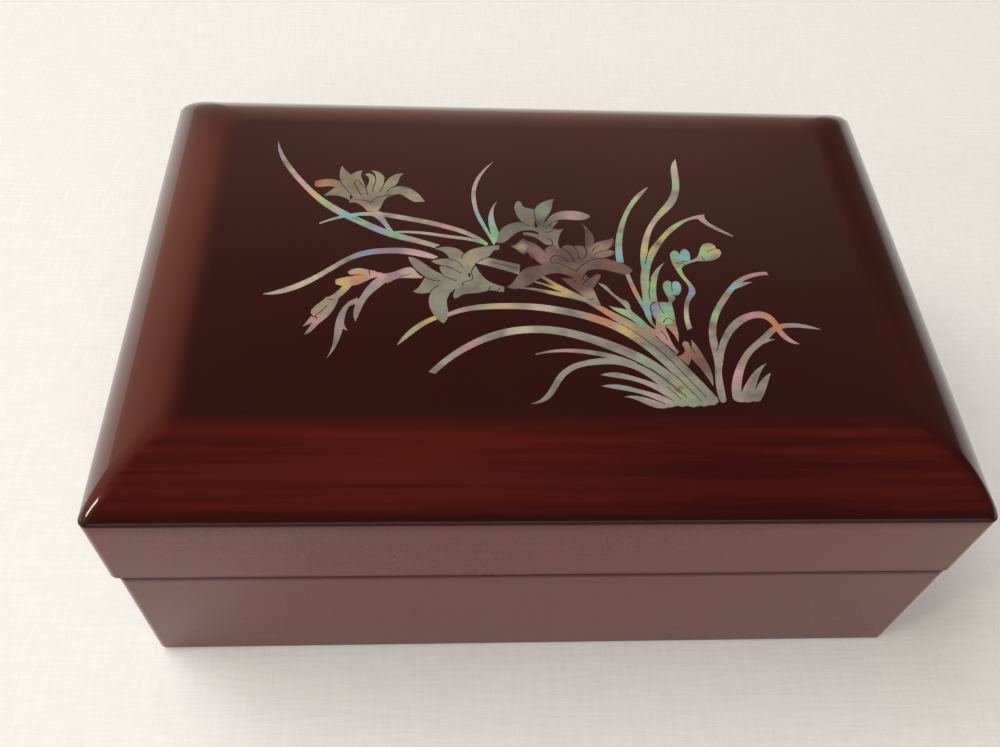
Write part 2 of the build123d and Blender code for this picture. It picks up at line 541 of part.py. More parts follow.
blossom_right = motif(
    [
        petal([(-2.4, 4.1), (-2.4, 2.4), (-1.8, 0.2), (-0.6, -1.8), (0.8, -3.2), (3, -4)],
              [(-2.4, 4.1), (-0.8, 3.4), (0.8, 1.8), (1.7, 0.5), (3.4, -0.6)]),
        petal([(-6.1, 2.5), (-5.2, 2.8), (-4.4, 3.5), (-3.4, 4.8)],
              [(-6.1, 2.5), (-5.4, 1.9), (-4.6, 1.2), (-3.2, 0), (-2.5, 1), (-2.6, 3)]),
        petal([(-3.4, 4.8), (-2.8, 4.6), (-2.4, 3.6)], [(-4, 3.2), (-3.2, 2.4), (-2.4, 1.4)]),
        petal([(-1.6, -1.4), (-2, -0.2), (-2.8, 1)], [(-1.6, -1.4), (-1.5, 0.2), (-1.9, 1.4)]),
        petal([(1.4, 0.8), (1.8, 1.7), (3, 2.7), (4.4, 2.2), (5.6, 1.8)],
              [(1.2, -3.6), (3, -3.4), (5.4, -3.6), (7, -4.4)]),
        petal([(5.1, 1.6), (5.8, 2.5), (7, 3), (8.2, 2.3), (8.4, -1), (8.6, -4)],
              [(5.1, 1.6), (5.2, -0.6), (6.2, -3), (7.4, -4.6)]),
        petal([(8, 2.3), (9.3, 2.9), (10.7, 2.4), (11.2, 0), (10.4, -3)],
              [(8, 2.3), (7.6, 0), (7.7, -2.6), (8.4, -4.6)]),
        petal([(10.5, 10.1), (12, 8.1), (12.9, 6), (13, 4.3), (12.1, 2.6), (11.6, 0.4)],
              [(10.5, 10.1), (11.2, 7.4), (11, 5), (10.9, 3.2), (10.3, 0.6)]),
        petal([(17.5, 5.4), (15.4, 4.6), (13.2, 3.7), (11.6, 2.1), (10, 0.4)],
              [(17.5, 5.4), (17.3, 3.8), (16, 1.9), (13.4, 0.4), (10.8, -2.2)]),
        petal([(17.3, 1.2), (15.8, 1.6), (13.8, 1.2), (11.4, 0.6)],
              [(17.2, 0.3), (15.8, -0.4), (14, -1), (11.6, -1.6), (9.6, -3.2)]),
        petal([(20.8, -4.6), (19.4, -2.9), (17.2, -1.8), (14.4, -1), (12, -1.4), (9.4, -3.4),
               (7.4, -6.4)],
              [(20.8, -4.6), (19.3, -5.8), (17.2, -5.3), (14, -4.4), (11.4, -4.6), (9.8, -6),
               (8.8, -8.6)]),
        petal([(-7.6, -9.9), (-5.8, -8.1), (-4.4, -5.6), (-2.6, -4.1), (0, -3.4), (4, -3.2),
               (8.6, -4.6)],
              [(-6, -10.4), (-3.2, -9.6), (-0.8, -7.8), (1.4, -6.2), (4, -5.6), (6.4, -6.4),
               (8.2, -8.4)]),
        petal([(4.6, -6.9), (5.6, -8.3), (7.2, -10.2), (9, -12.2), (10.4, -13.5), (12.8, -14.8)],
              [(4.6, -6.9), (6.4, -7.2), (8.2, -7), (11.3, -9.8), (12, -12.2), (12.8, -14.8)]),
        petal([(7, -5), (7.2, -7.4), (8.6, -10.4), (11.3, -9.8)],
              [(9.8, -5), (10.4, -6.4), (11.6, -8), (11.8, -9.6)]),
        petal([(13.6, -5.9), (12.2, -6), (10.8, -7.2), (9.6, -9)],
              [(13.6, -5.9), (13, -7.4), (12, -9), (10.8, -10.4)]),
    ],
    lines=[
        [(1.3, 2.2), (1.4, 1.3), (1.9, 0.3)],
        [(5.5, 1.9), (6.6, 0.9), (7.5, -0.8), (7.9, -2.4)],
        [(8.2, 2.4), (8.9, 1), (9.1, -0.2), (9.1, -1.4)],
        [(10.7, 2.4), (11, 1.2), (10.8, 0), (10.3, -1)],
        [(14.2, 2.9), (13.1, 2.3), (12.3, 1)],
        [(16.1, 1.5), (14.8, 1.4), (13.7, 0.9), (12.7, 0.1)],
        [(14.6, -1.1), (12.4, -1.3), (10.6, -2.4), (9.2, -3.6), (8.2, -5.1)],
        [(6.6, -2.3), (6.1, -1.4), (4.8, -0.6), (3.5, -0.4), (2.8, -1.2), (3, -2.6)],
        [(3, -2.6), (4.8, -2.9), (6.4, -3.8), (8.2, -5)],
        [(12.4, -6), (11.2, -6.8), (10, -7.9), (9.2, -9)],
        [(11.2, -4.6), (10.1, -5.7), (9.4, -7.7)],
        [(10, -13.2), (10.7, -13.2), (11.4, -12.9)],
        [(6.4, -6.6), (7.2, -7.4), (7.8, -8.2)],
    ],
    behind=[blossom_top],
)

# ---- inlay: buds ---------------------------------------------------------------------
buds = motif(
    [
        # three buds and two torn roots at the left
        petal([(-42, -5.9), (-41.2, -5.2), (-39.2, -4.8), (-37.4, -5.3), (-35.8, -5.9)],
              [(-42, -5.9), (-41.3, -6.7), (-39.6, -6.9), (-36.4, -7.4)]),
        petal([(-44.5, -8.2), (-42.4, -7.4), (-39.6, -6.9), (-37, -6.2), (-34.6, -6)],
              [(-44.4, -9.4), (-42, -10), (-39.4, -9.4), (-37.2, -8), (-35, -7.2)]),
        petal([(-37.4, -5.4), (-36.5, -5.4), (-35.4, -6), (-33, -6.1), (-30.4, -4.9),
               (-28.2, -4.4), (-26.6, -6.4),
               (-25.7, -7)],
              [(-37.4, -7.4), (-35, -7.3), (-33.6, -9), (-31.6, -7.9), (-29, -7.5), (-25.9, -7.5)]),
        petal([(-42.6, -9.6), (-44, -11.6), (-46, -13.5)],
              [(-40.8, -9.8), (-42.4, -12.2), (-43.6, -13.6)]),
        petal([(-46.2, -13.2), (-48, -15.4), (-49, -17.4), (-48.2, -18.5)],
              [(-43.2, -13), (-44.4, -15), (-46, -17), (-48.2, -18.5)]),
        petal([(-43.5, -13.8), (-44.2, -16.2), (-45.7, -18.9), (-47.2, -20.6), (-48.5, -22.5),
               (-49.9, -23.5)],
              [(-45.6, -14), (-46.6, -16.6), (-48, -18.8), (-48.7, -20.8), (-49.4, -22.3),
               (-49.9, -23.5)]),
        petal([(-48.9, -18.5), (-49.6, -19.8), (-50.4, -21.3)],
              [(-47.4, -19), (-48.5, -20.2), (-50.4, -21.3)]),
        petal([(-35.2, -7.2), (-37.4, -9.8), (-38.8, -12.7), (-39.9, -15.6), (-39.6, -19.9)],
              [(-33, -8), (-35, -10.3), (-37.3, -13.2), (-38.6, -16.6), (-39.6, -19.9)]),
        petal([(-38.9, -13.6), (-40.4, -13.8), (-42.4, -16), (-43.6, -19.6), (-43.8, -24.4),
               (-45, -29.7)],
              [(-39.2, -15.6), (-40.6, -15.3), (-41.7, -17.6), (-42, -21), (-42.7, -25),
               (-45, -29.7)]),
        petal([(-39.6, -13.2), (-40.3, -13.8), (-41, -14.6)],
              [(-39.6, -13.2), (-39.5, -14.2), (-39.8, -15)]),
        petal([(-41, -22.3), (-41.7, -21.1), (-42, -19.4)],
              [(-41, -22.3), (-41.9, -21.9), (-42.6, -21.4)]),
        # three pairs at the right
        petal([(30.2, -3), (29.9, -1), (30.3, 1.1), (31.2, 1.7)],
              [(32.2, -2.4), (32.3, -0.6), (32, 1), (31.2, 1.7)]),
        petal([(32.1, -1.6), (32.3, 0.6), (32.8, 1.8), (33.6, 2.2)],
              [(34.3, -1.6), (34.5, 0.6), (34.2, 1.7), (33.6, 2.2)]),
        petal([(30.2, -2.6), (30.8, -4.6), (31.9, -7.2), (32.6, -8.7), (32.6, -10.6),
               (31.6, -12.8), (30.7, -16),
               (30.4, -19), (30.6, -21.6)],
              [(33.6, -2.4), (32, -4), (32.4, -6.2), (33.7, -8.8), (34, -11), (32.8, -12.8),
               (31.7, -16),
               (31.5, -19), (31.7, -21)]),
        petal([(31.6, -2), (34.2, -1.5), (36.2, -0.2)], [(31.8, -3.7), (34, -2.2), (36.4, -1.4)]),
        petal([(35.8, -0.6), (36.8, 1.3), (38, 3.6), (39.7, 4.1), (40.8, 3.2), (40.6, 2.2)],
              [(35.8, -1.2), (37.4, -1.4), (38.6, 0.4), (40.6, 2.2)]),
        petal([(36.4, -0.4), (38.6, 1.2), (40.4, 2.3), (41.6, 2.1)],
              [(36.2, -1.4), (38.8, -1.4), (40.8, -0.5), (41.8, 0.9), (41.6, 2.1)]),
        petal([(27.6, -14.1), (27.6, -12.4), (27, -9.8), (27.3, -8.2), (28.3, -7.5)],
              [(28.4, -14.1), (28.9, -12.4), (29.1, -10), (29.1, -8.2), (28.3, -7.5)]),
        petal([(28.8, -12), (29, -9.8), (29.3, -8.1), (30, -7.7)],
              [(29.8, -12), (30.8, -10.6), (31, -8.8), (30.6, -7.9), (30, -7.7)]),
        petal([(28.8, -13.4), (29.3, -12.6), (29.2, -12)], [(28, -13.6), (28.2, -12.4),
                                                            (28.6, -11.6)]),
        petal([(23.6, -16.4), (24, -14.4), (26.6, -13.8), (28.3, -14.1)],
              [(23.7, -17.6), (25.2, -19.4), (26.8, -19.6), (28.3, -18.8)]),
        petal([(28.3, -14), (28.4, -16.4), (28.4, -19.2)], [(25, -14), (25.4, -17), (26, -20.4)]),
        petal([(24.2, -18), (24, -20), (23.6, -22.7), (25.4, -25.4), (27.3, -28.2)],
              [(28.4, -19.2), (26, -20.6), (26.3, -22.8), (27, -25.6), (27.9, -27.4)]),
        petal([(26, -20.5), (27.1, -22), (28.2, -24.9)], [(28.3, -19.2), (28.5, -22.2),
                                                          (28.2, -24.9)]),
        petal([(29, -25.8), (29.2, -27.2), (27.5, -28.6)], [(30.4, -25.4), (30.6, -27.2),
                                                            (29.4, -31)]),
        petal([(29.6, -24.6), (29.1, -25), (29, -25.9)], [(29.6, -24.6), (30.3, -25), (30.5, -25.9)]),
        petal([(31, -24.2), (30.7, -26.4), (30.2, -28.6), (31.4, -31), (32.6, -33.4), (33.7, -36.2)],
              [(31, -24.2), (32, -26), (33.1, -29), (33.8, -31.6), (34, -34), (33.7, -36.2)]),
    ],
    lines=[
        [(-41.2, -6.8), (-40, -6.7), (-38.8, -6.8)],
        [(-37.5, -5.4), (-37.3, -6), (-37.3, -6.7)],
        [(-30.7, -7.2), (-29.4, -6.7), (-28.2, -6.2)],
        [(-45.9, -13.7), (-45.2, -13.8), (-44.4, -14)],
        [(-45.7, -15.5), (-46.7, -16.9), (-48, -18.3)],
        [(-48.7, -18.5), (-47.9, -18.7), (-47.6, -19.3)],
        [(31, -2.2), (32, -2.2), (33, -2.8)],
        [(40.6, 2.4), (39.5, 1.9), (38.5, 1.2)],
        [(37.1, 0.1), (37.4, -0.7), (37.7, -1.4)],
        [(29.1, -7.9), (29, -9), (28.9, -10.6)],
        [(28.9, -11.9), (29.4, -11.9), (29.9, -11.8)],
        [(25.4, -14), (25.6, -15.5), (26.3, -17.1)],
        [(25.8, -19.6), (26.2, -18.7), (27, -18.3), (27.6, -18.7), (28.3, -19.2)],
        [(24.8, -21.7), (25.4, -22.6), (25.9, -24.3)],
        [(30.4, -25.3), (30.8, -26.5), (31.3, -27.8)],
    ],
)

# ---- inlay: leaves -------------------------------------------------------------------
ROOT_FOOT = [(23.3, -40.7), (24.8, -39.2), (27.7, -38.4), (30.6, -39.2), (31.9, -38.2),
             (34.1, -39.2), (34.2, -40.2),
             (33.3, -40.9), (32, -41), (31, -41.3), (30.3, -41.1), (28.8, -41.5), (27.7, -41.1),
             (26.5, -41.4),
             (25.6, -41.1), (24.4, -41.5), (23.3, -41.5)]
leaves_front = motif(
    [
        petal([(0.8, -6.4), (4, -9), (8, -11.7), (11.6, -14.2), (16, -17.3), (20.6, -20.5),
               (25, -25.2), (28.9, -31),
               (31.6, -35.2), (34.2, -39.4)],
              [(0.2, -7), (3.6, -9.9), (7.4, -12.6), (11.4, -15.6), (15.4, -19.2), (20, -22.9),
               (24, -27.2),
               (27.5, -32.1), (31.8, -39.2)]),
        blade([(-1.3, -8.2), (1.6, -9.3), (4.6, -10.7), (8, -12.6)], 0.3, 0.9, 1.4),
        blade([(-4.6, -10.1), (-1.6, -10.4), (2, -11.3), (5.4, -12.1), (8.6, -13),
               (11.4, -14.7)], 0.3, 1.1, 1.2),
        petal([(-30.8, -26.2), (-29.4, -23.5), (-26.4, -20.2), (-22.8, -18.1)],
              [(-30.8, -26.2), (-28.5, -24), (-25.4, -21), (-22.6, -19.2)]),
        petal([(-20.8, -17.6), (-15.4, -15.3), (-9, -14.5), (-1.6, -14.6), (5, -15.7), (11, -17.5),
               (16.4, -20.1),
               (21.6, -23.9), (26.5, -29.6), (32, -38.3)],
              [(-20.4, -18.5), (-15, -16.6), (-9, -16.1), (-2, -16.3), (4, -17.4), (10, -19.2),
               (15, -21.7),
               (20.2, -26), (25.2, -32.2), (30.4, -39.6)]),
        petal([(-24.2, -32.9), (-20.4, -28.8), (-15, -24.6), (-9, -21.8), (-2.4, -20.7),
               (4.4, -21.3), (11, -23.5),
               (17.2, -26.4), (22.6, -30.1), (27, -34.8), (30.4, -39.4)],
              [(-22.8, -33.4), (-19.4, -29.8), (-14.4, -26.2), (-8.6, -23.6), (-2.2, -22.6),
               (4, -23.3),
               (10.4, -25.6), (16, -28.4), (21.4, -32), (25.4, -36.4), (28, -39.6)]),
        blade([(-2.2, -28.3), (3, -27.3), (8, -27.5), (13.4, -28.7), (18.4, -30.9)], 0.3, 1.1, 1.2),
        petal([(-3.9, -40.7), (-0.6, -38.3), (2.1, -33.6), (5.2, -30.9), (10, -29.4), (15, -29.2),
               (19.4, -31),
               (23.2, -34), (26, -37.4), (27.9, -39.4)],
              [(-3.9, -40.7), (0.8, -38.4), (3.4, -34.1), (6.2, -31.9), (10.4, -30.9),
               (14.6, -30.9), (18.6, -32.4),
               (22, -35.4), (25, -39)]),
        petal([(10.8, -33.5), (14, -32.9), (18, -34), (22, -35.7), (24.8, -37.8), (26.4, -39.6)],
              [(10.8, -33.5), (14, -34.2), (18, -35.2), (21.4, -37), (24.8, -40)]),
        petal([(10.7, -36.3), (14.4, -36), (18.4, -37.1), (22, -38.3), (25, -40)],
              [(10.7, -36.3), (14.4, -37.2), (18.4, -38.2), (21.6, -39.7), (24, -41.2)]),
        petal([(15.1, -39), (18, -38.8), (20.4, -39.5), (23.4, -40.9)],
              [(15.1, -39), (18, -40), (20.6, -41.4), (23.6, -41.6)]),
        chip(ROOT_FOOT),
    ],
    lines=[
        [(16.5, -20), (19, -22), (22, -25), (25, -28.5), (28, -33), (31.9, -39)],
        [(26.4, -33.6), (27.6, -35.4), (29.2, -37.8), (30.7, -40)],
        [(21.2, -31.6), (23.2, -33.6), (25.4, -36), (27.8, -39.1)],
        [(24.2, -36.4), (25.4, -37.9), (26.6, -39.5)],
        [(22, -37.8), (23.6, -38.9), (25, -39.9)],
        [(21.4, -39.7), (22.2, -40.2), (23.2, -40.6)],
    ],
    behind=[blossom_right, blossom_front],
)

leaves_left = motif(
    [
        petal([(-61.2, 36.8), (-59.9, 33), (-57, 27.5), (-53, 21.7), (-47.7, 16), (-43.6, 12.9),
               (-38.6, 9.7), (-33.4, 6.9), (-27.6, 4.7), (-22, 2.5)],
              [(-61.2, 36.8), (-60.2, 31.2), (-57.2, 25.4), (-53.4, 20), (-48.4, 14.3),
               (-44.4, 11.2), (-39, 7.9),
               (-33.8, 5.1), (-28, 3.2), (-23.2, 1.6)]),
        blade([(-49.2, 8.8), (-45, 10.8), (-40, 12), (-35, 11.9), (-30, 10.9), (-25, 9.7),
               (-20, 8.1), (-15, 5.8),
               (-11.4, 2.7)], 0.4, 1.4, 0.9),
        blade([(-32.5, 6.3), (-25, 6.1), (-20, 5.2), (-15, 4.3), (-11.8, 3)], 0.5, 0.9, 0.7),
        petal([(-38.3, 12.6), (-36.8, 11), (-35.4, 9.4), (-33.8, 6.6)],
              [(-35.2, 12.5), (-34.6, 10.8), (-33.6, 8.6), (-32, 6)]),
        petal([(-38.4, 12.6), (-37.2, 12.9), (-36.1, 13), (-35, 12.2)],
              [(-38.4, 12.6), (-37, 11.2), (-35, 12.2)]),
        petal([(-59.6, -12.5), (-54.4, -10.3), (-49.4, -7.2), (-44.6, -3.2), (-39.4, 0.3),
               (-34, 1.4), (-28.6, 1.3),
               (-24.4, 0), (-22.3, -1.2)],
              [(-59.6, -12.5), (-54.8, -12), (-50, -9.4), (-45, -5.2), (-40, -1.6), (-34.8, -0.3),
               (-29.6, -0.4),
               (-25.6, -1.3), (-23.4, -1.8)]),
        petal([(-9.1, 30.6), (-12.6, 26.2), (-14.4, 21.4), (-14.6, 16.8), (-13.7, 12), (-12, 7.6),
               (-9.9, 2.6)],
              [(-9.1, 30.6), (-11.8, 26.2), (-13.4, 21.6), (-13.6, 17), (-12.9, 12.6),
               (-11.7, 9.2), (-10.5, 6), (-9.2, 4)]),
        petal([(-8.6, 17), (-10.3, 14), (-10.9, 11), (-10.8, 8.6), (-10.4, 6), (-10, 2.8)],
              [(-8.6, 17), (-9.6, 14), (-9.6, 11), (-9, 8), (-8.6, 6.4), (-9, 4)]),
        petal([(-11.2, -1.2), (-8, -2.1), (-4.2, -3.2)],
              [(-14, -2.9), (-10.6, -3.9), (-7.6, -5), (-4.6, -6.1)]),
    ],
    lines=[
        [(-10.7, -2.4), (-8, -3.3), (-5, -4.4)],
        [(-41.9, 10.8), (-40.8, 10.3), (-39.7, 9.6)],
    ],
    behind=[blossom_left, blossom_front, blossom_right, blossom_top],
)

leaves_right = motif(
    [
        petal([(27.8, 22.6), (24.2, 19.3), (21.4, 14.6), (19.4, 9.8), (18, 4.6), (17.5, 0),
               (17.5, -2)],
              [(27.8, 22.6), (25.4, 19), (22.6, 14.6), (20.7, 9.8), (19.5, 4.6), (19.1, 0),
               (19.1, -2.3)]),
        petal([(35.9, 32.8), (34.2, 29), (33.9, 25), (33.3, 21.4), (31.4, 17.4), (28.2, 12.9),
               (25.6, 8.4),
               (23.8, 3.4), (23, -1), (22.9, -4)],
              [(35.9, 32.8), (35.8, 29), (35.6, 25), (34.9, 20.6), (33, 16.4), (29.6, 12.4),
               (27, 8.4), (25.5, 4),
               (24.8, 0.4), (24.4, -3)]),
        petal([(40, 13.5), (37, 12.7), (33.8, 11.1), (30.6, 8.6), (28.2, 5.6), (26.2, 3),
               (24.4, -0.6), (22.9, -4.2),
               (22.2, -8), (22.1, -12), (21.9, -16), (22.4, -18.6), (24.4, -21.6)],
              [(38.6, 12), (35.6, 11.2), (32.6, 8.7), (29.6, 5.4), (27.2, 1.4), (25.2, -2.8),
               (24.2, -7),
               (23.8, -11), (24, -14), (23.5, -16.6), (24.4, -21.6)]),
        petal([(40, 13.5), (39.9, 12.1), (41.4, 10), (43.8, 8.1), (45.8, 6.5)],
              [(37.6, 12.6), (38.9, 11), (41, 9), (43.2, 7.5), (45.5, 6.2)]),
        petal([(28.4, -2), (26, -4.4), (24.6, -6.8), (23.7, -10), (23.7, -14.2)],
              [(28.4, -2), (26.7, -4.9), (25.7, -8.4), (25.2, -12), (25.3, -14.2)]),
        petal([(18.9, -5.2), (19.6, -8.6), (20.4, -12), (21.4, -14.8), (22.2, -17.6)],
              [(20, -5.4), (20.7, -9), (21.6, -12.4), (22.3, -15), (23, -18)]),
        petal([(12.7, -8.4), (14.8, -9.8), (16, -11.7), (18, -13.7), (19, -15.9), (21, -18.5),
               (24, -21.7),
               (26, -21.6)],
              [(12.7, -8.4), (14.6, -10.9), (16.6, -13.4), (18.4, -16.1), (20, -19.6), (23.2, -23),
               (26, -24)]),
        petal([(17.3, -13.4), (18.2, -13.4), (18.9, -14.3), (18.9, -15.9)],
              [(17.3, -13.4), (17.8, -15), (18.4, -16.2)]),
        petal([(14.3, -14.8), (16, -15.5), (18, -16), (19.6, -17)],
              [(14.3, -14.8), (16, -16.6), (18.8, -18.7), (21.4, -21.2), (23, -22)]),
        # tall tuft at the right end
        petal([(51.2, -4.6), (47.4, -5.2), (43.8, -7.2), (40.6, -10.8), (37.6, -15.3), (35.6, -20),
               (34.9, -25),
               (35, -30), (34.4, -35), (34.5, -40)],
              [(51.4, -5.5), (47.8, -6.2), (44.8, -7.9), (41.8, -11.5), (39, -15.7), (37.2, -20),
               (36.6, -25),
               (36.9, -29), (36.2, -32.2), (35.9, -36), (35.8, -40)]),
        petal([(47.4, -7.7), (45.8, -7.7), (43.8, -8)], [(47.4, -7.7), (45.6, -8.6), (42.8, -10)]),
        petal([(35.6, -29), (36.6, -26), (38.6, -22), (41.4, -18.6), (45, -16.6), (48.2, -16.4),
               (50.3, -18.4),
               (51.2, -21.4), (52.6, -23.7), (54.2, -25.2)],
              [(36.6, -31), (38, -26.4), (39.8, -23), (42.4, -20.1), (45.6, -18.2), (48, -18.3),
               (49.4, -20.1),
               (50.2, -22.3), (51.6, -24.3), (54.2, -25.2)]),
        petal([(59.8, -21.2), (56.6, -19.9), (52.8, -19.5), (49.6, -20.3), (46.4, -23.1), (43, -26.2),
               (40, -30.3), (38, -34.6), (37.2, -39.2)],
              [(59.8, -21.2), (56.4, -20.8), (53, -20.7), (50.6, -21.3), (47.4, -24.2),
               (44, -27.2), (41.6, -30.6),
               (40, -34.6), (38.9, -39.6)]),
        petal([(49.2, -23.9), (47.8, -23.9), (46.6, -24)],
              [(49.2, -23.9), (47.6, -24.6), (45.6, -25.6)]),
        petal([(46.1, -30.3), (43.4, -32.1), (41, -35), (38.6, -38.8)],
              [(46.1, -30.3), (44, -33.2), (42.7, -36), (41, -39.4)]),
        petal([(46.4, -32.8), (44.4, -34.3), (42.6, -36.6), (41, -39)],
              [(46.4, -32.8), (45.2, -35.5), (44, -38), (42.8, -39.9)]),
        chip([(37.2, -39.2), (38.8, -38.6), (41.2, -38.4), (43, -39.6), (42.3, -40.1), (41.2, -40),
              (40.4, -40.3),
              (39.4, -40.2), (38.4, -40.2), (37.5, -39.8)]),
        petal([(34.5, -39.9), (34.8, -40.3), (35.8, -39.9)],
              [(34.5, -39.9), (35.2, -39.4), (35.8, -39.9)]),
    ],
    lines=[
        [(24.6, -6.9), (24.1, -9), (23.7, -11), (23.7, -12.9)],
        [(25.3, -14), (24.2, -14), (23.5, -15), (23.4, -16.4), (23.8, -17.8), (24.4, -18.6)],
        [(22.4, -19.4), (23.2, -20.6), (24.3, -21.7)],
        [(27.4, 3.8), (27.9, 3.6), (28.3, 3.9)],
        [(36.7, -25.2), (36.4, -26.1), (36.2, -27)],
        [(24.9, 0.8), (24.4, -0.8), (23.9, -2.6)],
    ],
    behind=[buds, blossom_right, leaves_front],
)

# ---- inlay in place ------------------------------------------------------------------
inlay = {
    "pearl_blossom_left": blossom_left,
    "pearl_blossom_front": blossom_front,
    "pearl_blossom_top": blossom_top,
    "pearl_blossom_right": blossom_right,
    "pearl_buds": buds,
    "pearl_leaves_front": leaves_front,
    "pearl_leaves_left": leaves_left,
    "pearl_leaves_right": leaves_right,
}
shell_low = TOP + SHELL_PROUD - SHELL_THICK
UP = (0, 0, 1)
pockets = Sketch()
for name, (outline, shell) in inlay.items():
    pockets += outline
    nodes[name] = extrude(Pos(0, 0, shell_low) * shell, SHELL_THICK, dir=UP)
top_board -= extrude(Pos(0, 0, shell_low) * pockets, SHELL_THICK, dir=UP)
nodes["lid_top_board"] = top_board

# ---- files ---------------------------------------------------------------------------
os.makedirs("parts", exist_ok=True)
for name, solid in nodes.items():
    export_step(solid, f"parts/{name}.step")
print(len(nodes), "nodes written")
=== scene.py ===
# %% [markdown]
# # A lacquered jewellery box, inlaid with orchids
#
# The real box is a wooden case under many coats of dark red lacquer, rubbed down and
# polished. Thin pieces of mother-of-pearl are let into its lid. Inside it is lined with
# velvet, and it has a lift-out tray with ring rolls and a mirror in the lid.
#
# The CAD model is the fixed frame. Each cell below makes one kind of piece around it, or
# gives a finish to pieces that are already right.

# %% Load the frame
from math import cos, pi, radians, sin

import bmesh
import bpy
import numpy as np
from mathutils import Matrix, Vector


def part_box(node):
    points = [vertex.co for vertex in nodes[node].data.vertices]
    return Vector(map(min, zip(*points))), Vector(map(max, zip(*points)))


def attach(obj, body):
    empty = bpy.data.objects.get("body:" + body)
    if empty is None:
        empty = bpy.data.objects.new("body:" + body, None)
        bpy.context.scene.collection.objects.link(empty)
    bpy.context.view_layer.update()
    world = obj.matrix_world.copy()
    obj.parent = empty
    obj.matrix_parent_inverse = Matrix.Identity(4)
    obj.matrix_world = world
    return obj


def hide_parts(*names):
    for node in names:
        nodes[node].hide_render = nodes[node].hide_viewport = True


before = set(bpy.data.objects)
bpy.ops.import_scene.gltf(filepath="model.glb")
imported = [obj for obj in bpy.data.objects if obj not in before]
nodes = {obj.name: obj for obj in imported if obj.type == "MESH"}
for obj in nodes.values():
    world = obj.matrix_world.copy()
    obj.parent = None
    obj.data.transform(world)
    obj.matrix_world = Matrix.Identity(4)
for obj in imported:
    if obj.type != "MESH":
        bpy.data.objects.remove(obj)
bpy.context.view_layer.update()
MM = 0.001                  # Blender works in metres

# %% [markdown]
# ## Camera
#
# The camera looks down at the box from in front of it and above. It is placed by where it
# stands and three angles, because those are the values that a person would change: how
# steeply it looks down, how far it is turned, and its slight tilt.

# %% Camera
CAMERA_PLACE = Vector((-22.09, -149.33, 231.74)) * MM
LOOKS_DOWN, TURNED, TILTED = radians(53.317), radians(6.072), radians(5.093)
LENS = 34.68

forward = Vector((sin(TURNED) * cos(LOOKS_DOWN), cos(TURNED) * cos(LOOKS_DOWN), -sin(LOOKS_DOWN)))
level = Vector((cos(TURNED), -sin(TURNED), 0))
above = level.cross(forward)
right = cos(TILTED) * level + sin(TILTED) * above
up = cos(TILTED) * above - sin(TILTED) * level

camera = bpy.data.objects.new("camera", bpy.data.cameras.new("camera"))
camera.data.lens = LENS
camera.data.clip_start, camera.data.clip_end = 0.01, 20
camera.matrix_world = Matrix.Translation(CAMERA_PLACE) @ Matrix((right, up, -forward)).transposed().to_4x4()
bpy.context.scene.collection.objects.link(camera)
bpy.context.scene.camera = camera

# %% [markdown]
# ## Shader maths as plain expressions
#
# A material is a small program. Wiring it node by node hides what it computes, so a
# socket is wrapped in a class whose operators add the Math nodes. Then `1 - mask` means
# what it says. Every other node comes from one method, `node`.

# %% A socket with operators, and the trees that hold them
def tint(red, green, blue):
    """A colour given by its screen values from 0 to 255, turned into amounts of light."""
    screen = np.array([red, green, blue]) / 255
    amount = np.where(screen > 0.04045, ((screen + 0.055) / 1.055) ** 2.4, screen / 12.92)
    return (*[float(part) for part in amount], 1.0)


class Signal:
    """A socket that can be used in arithmetic; each operation adds a Math node."""

    def __init__(self, wiring, socket):
        self.wiring, self.socket = wiring, socket

    def maths(self, operation, first, second):
        return self.wiring.node("ShaderNodeMath", {"operation": operation}, {0: first, 1: second})

    def __add__(self, other):
        return self.maths("ADD", self, other)

    def __radd__(self, other):
        return self.maths("ADD", other, self)

    def __sub__(self, other):
        return self.maths("SUBTRACT", self, other)

    def __rsub__(self, other):
        return self.maths("SUBTRACT", other, self)

    def __mul__(self, other):
        return self.maths("MULTIPLY", self, other)

    def __rmul__(self, other):
        return self.maths("MULTIPLY", other, self)

    def size(self):
        return self.maths("ABSOLUTE", self, 0)

    def lesser(self, other):
        return self.maths("MINIMUM", self, other)

    def wave(self):
        return self.maths("SINE", self, 0)


class Wiring:
    """A node tree that is filled by expressions."""

    def __init__(self, tree):
        self.tree = tree
        self.tree.nodes.clear()

    def node(self, kind, settings, inputs, output=0):
        """Adds a node: its settings first, then its inputs by name or number. Returns one output."""
        made = self.tree.nodes.new(kind)
        for name, value in settings.items():
            setattr(made, name, value)
        for key, value in inputs.items():
            self.feed(made.inputs[key], value)
        return Signal(self, made.outputs[output])

    def feed(self, socket, value):
        if isinstance(value, Signal):
            self.tree.links.new(value.socket, socket)
        else:
            socket.default_value = value

    def parts(self, vector):
        """The X, Y and Z of a vector."""
        split = self.node("ShaderNodeSeparateXYZ", {}, {0: vector})
        return [Signal(self, socket) for socket in split.socket.node.outputs]

    def step(self, value, low, high):
        """A smooth step: 0 at low and 1 at high, or falling where high is the smaller."""
        if low > high:
            return 1 - self.step(value, high, low)
        settings = {"interpolation_type": "SMOOTHSTEP"}
        return self.node("ShaderNodeMapRange", settings, {0: value, 1: low, 2: high, 3: 0.0, 4: 1.0})

    def mix(self, share, first, second, blend="MIX"):
        """The first colour where share is 0 and the second, or their blend, where it is 1."""
        return self.node("ShaderNodeMix", {"data_type": "RGBA", "blend_type": blend},
                         {0: share, 6: first, 7: second}, 2)


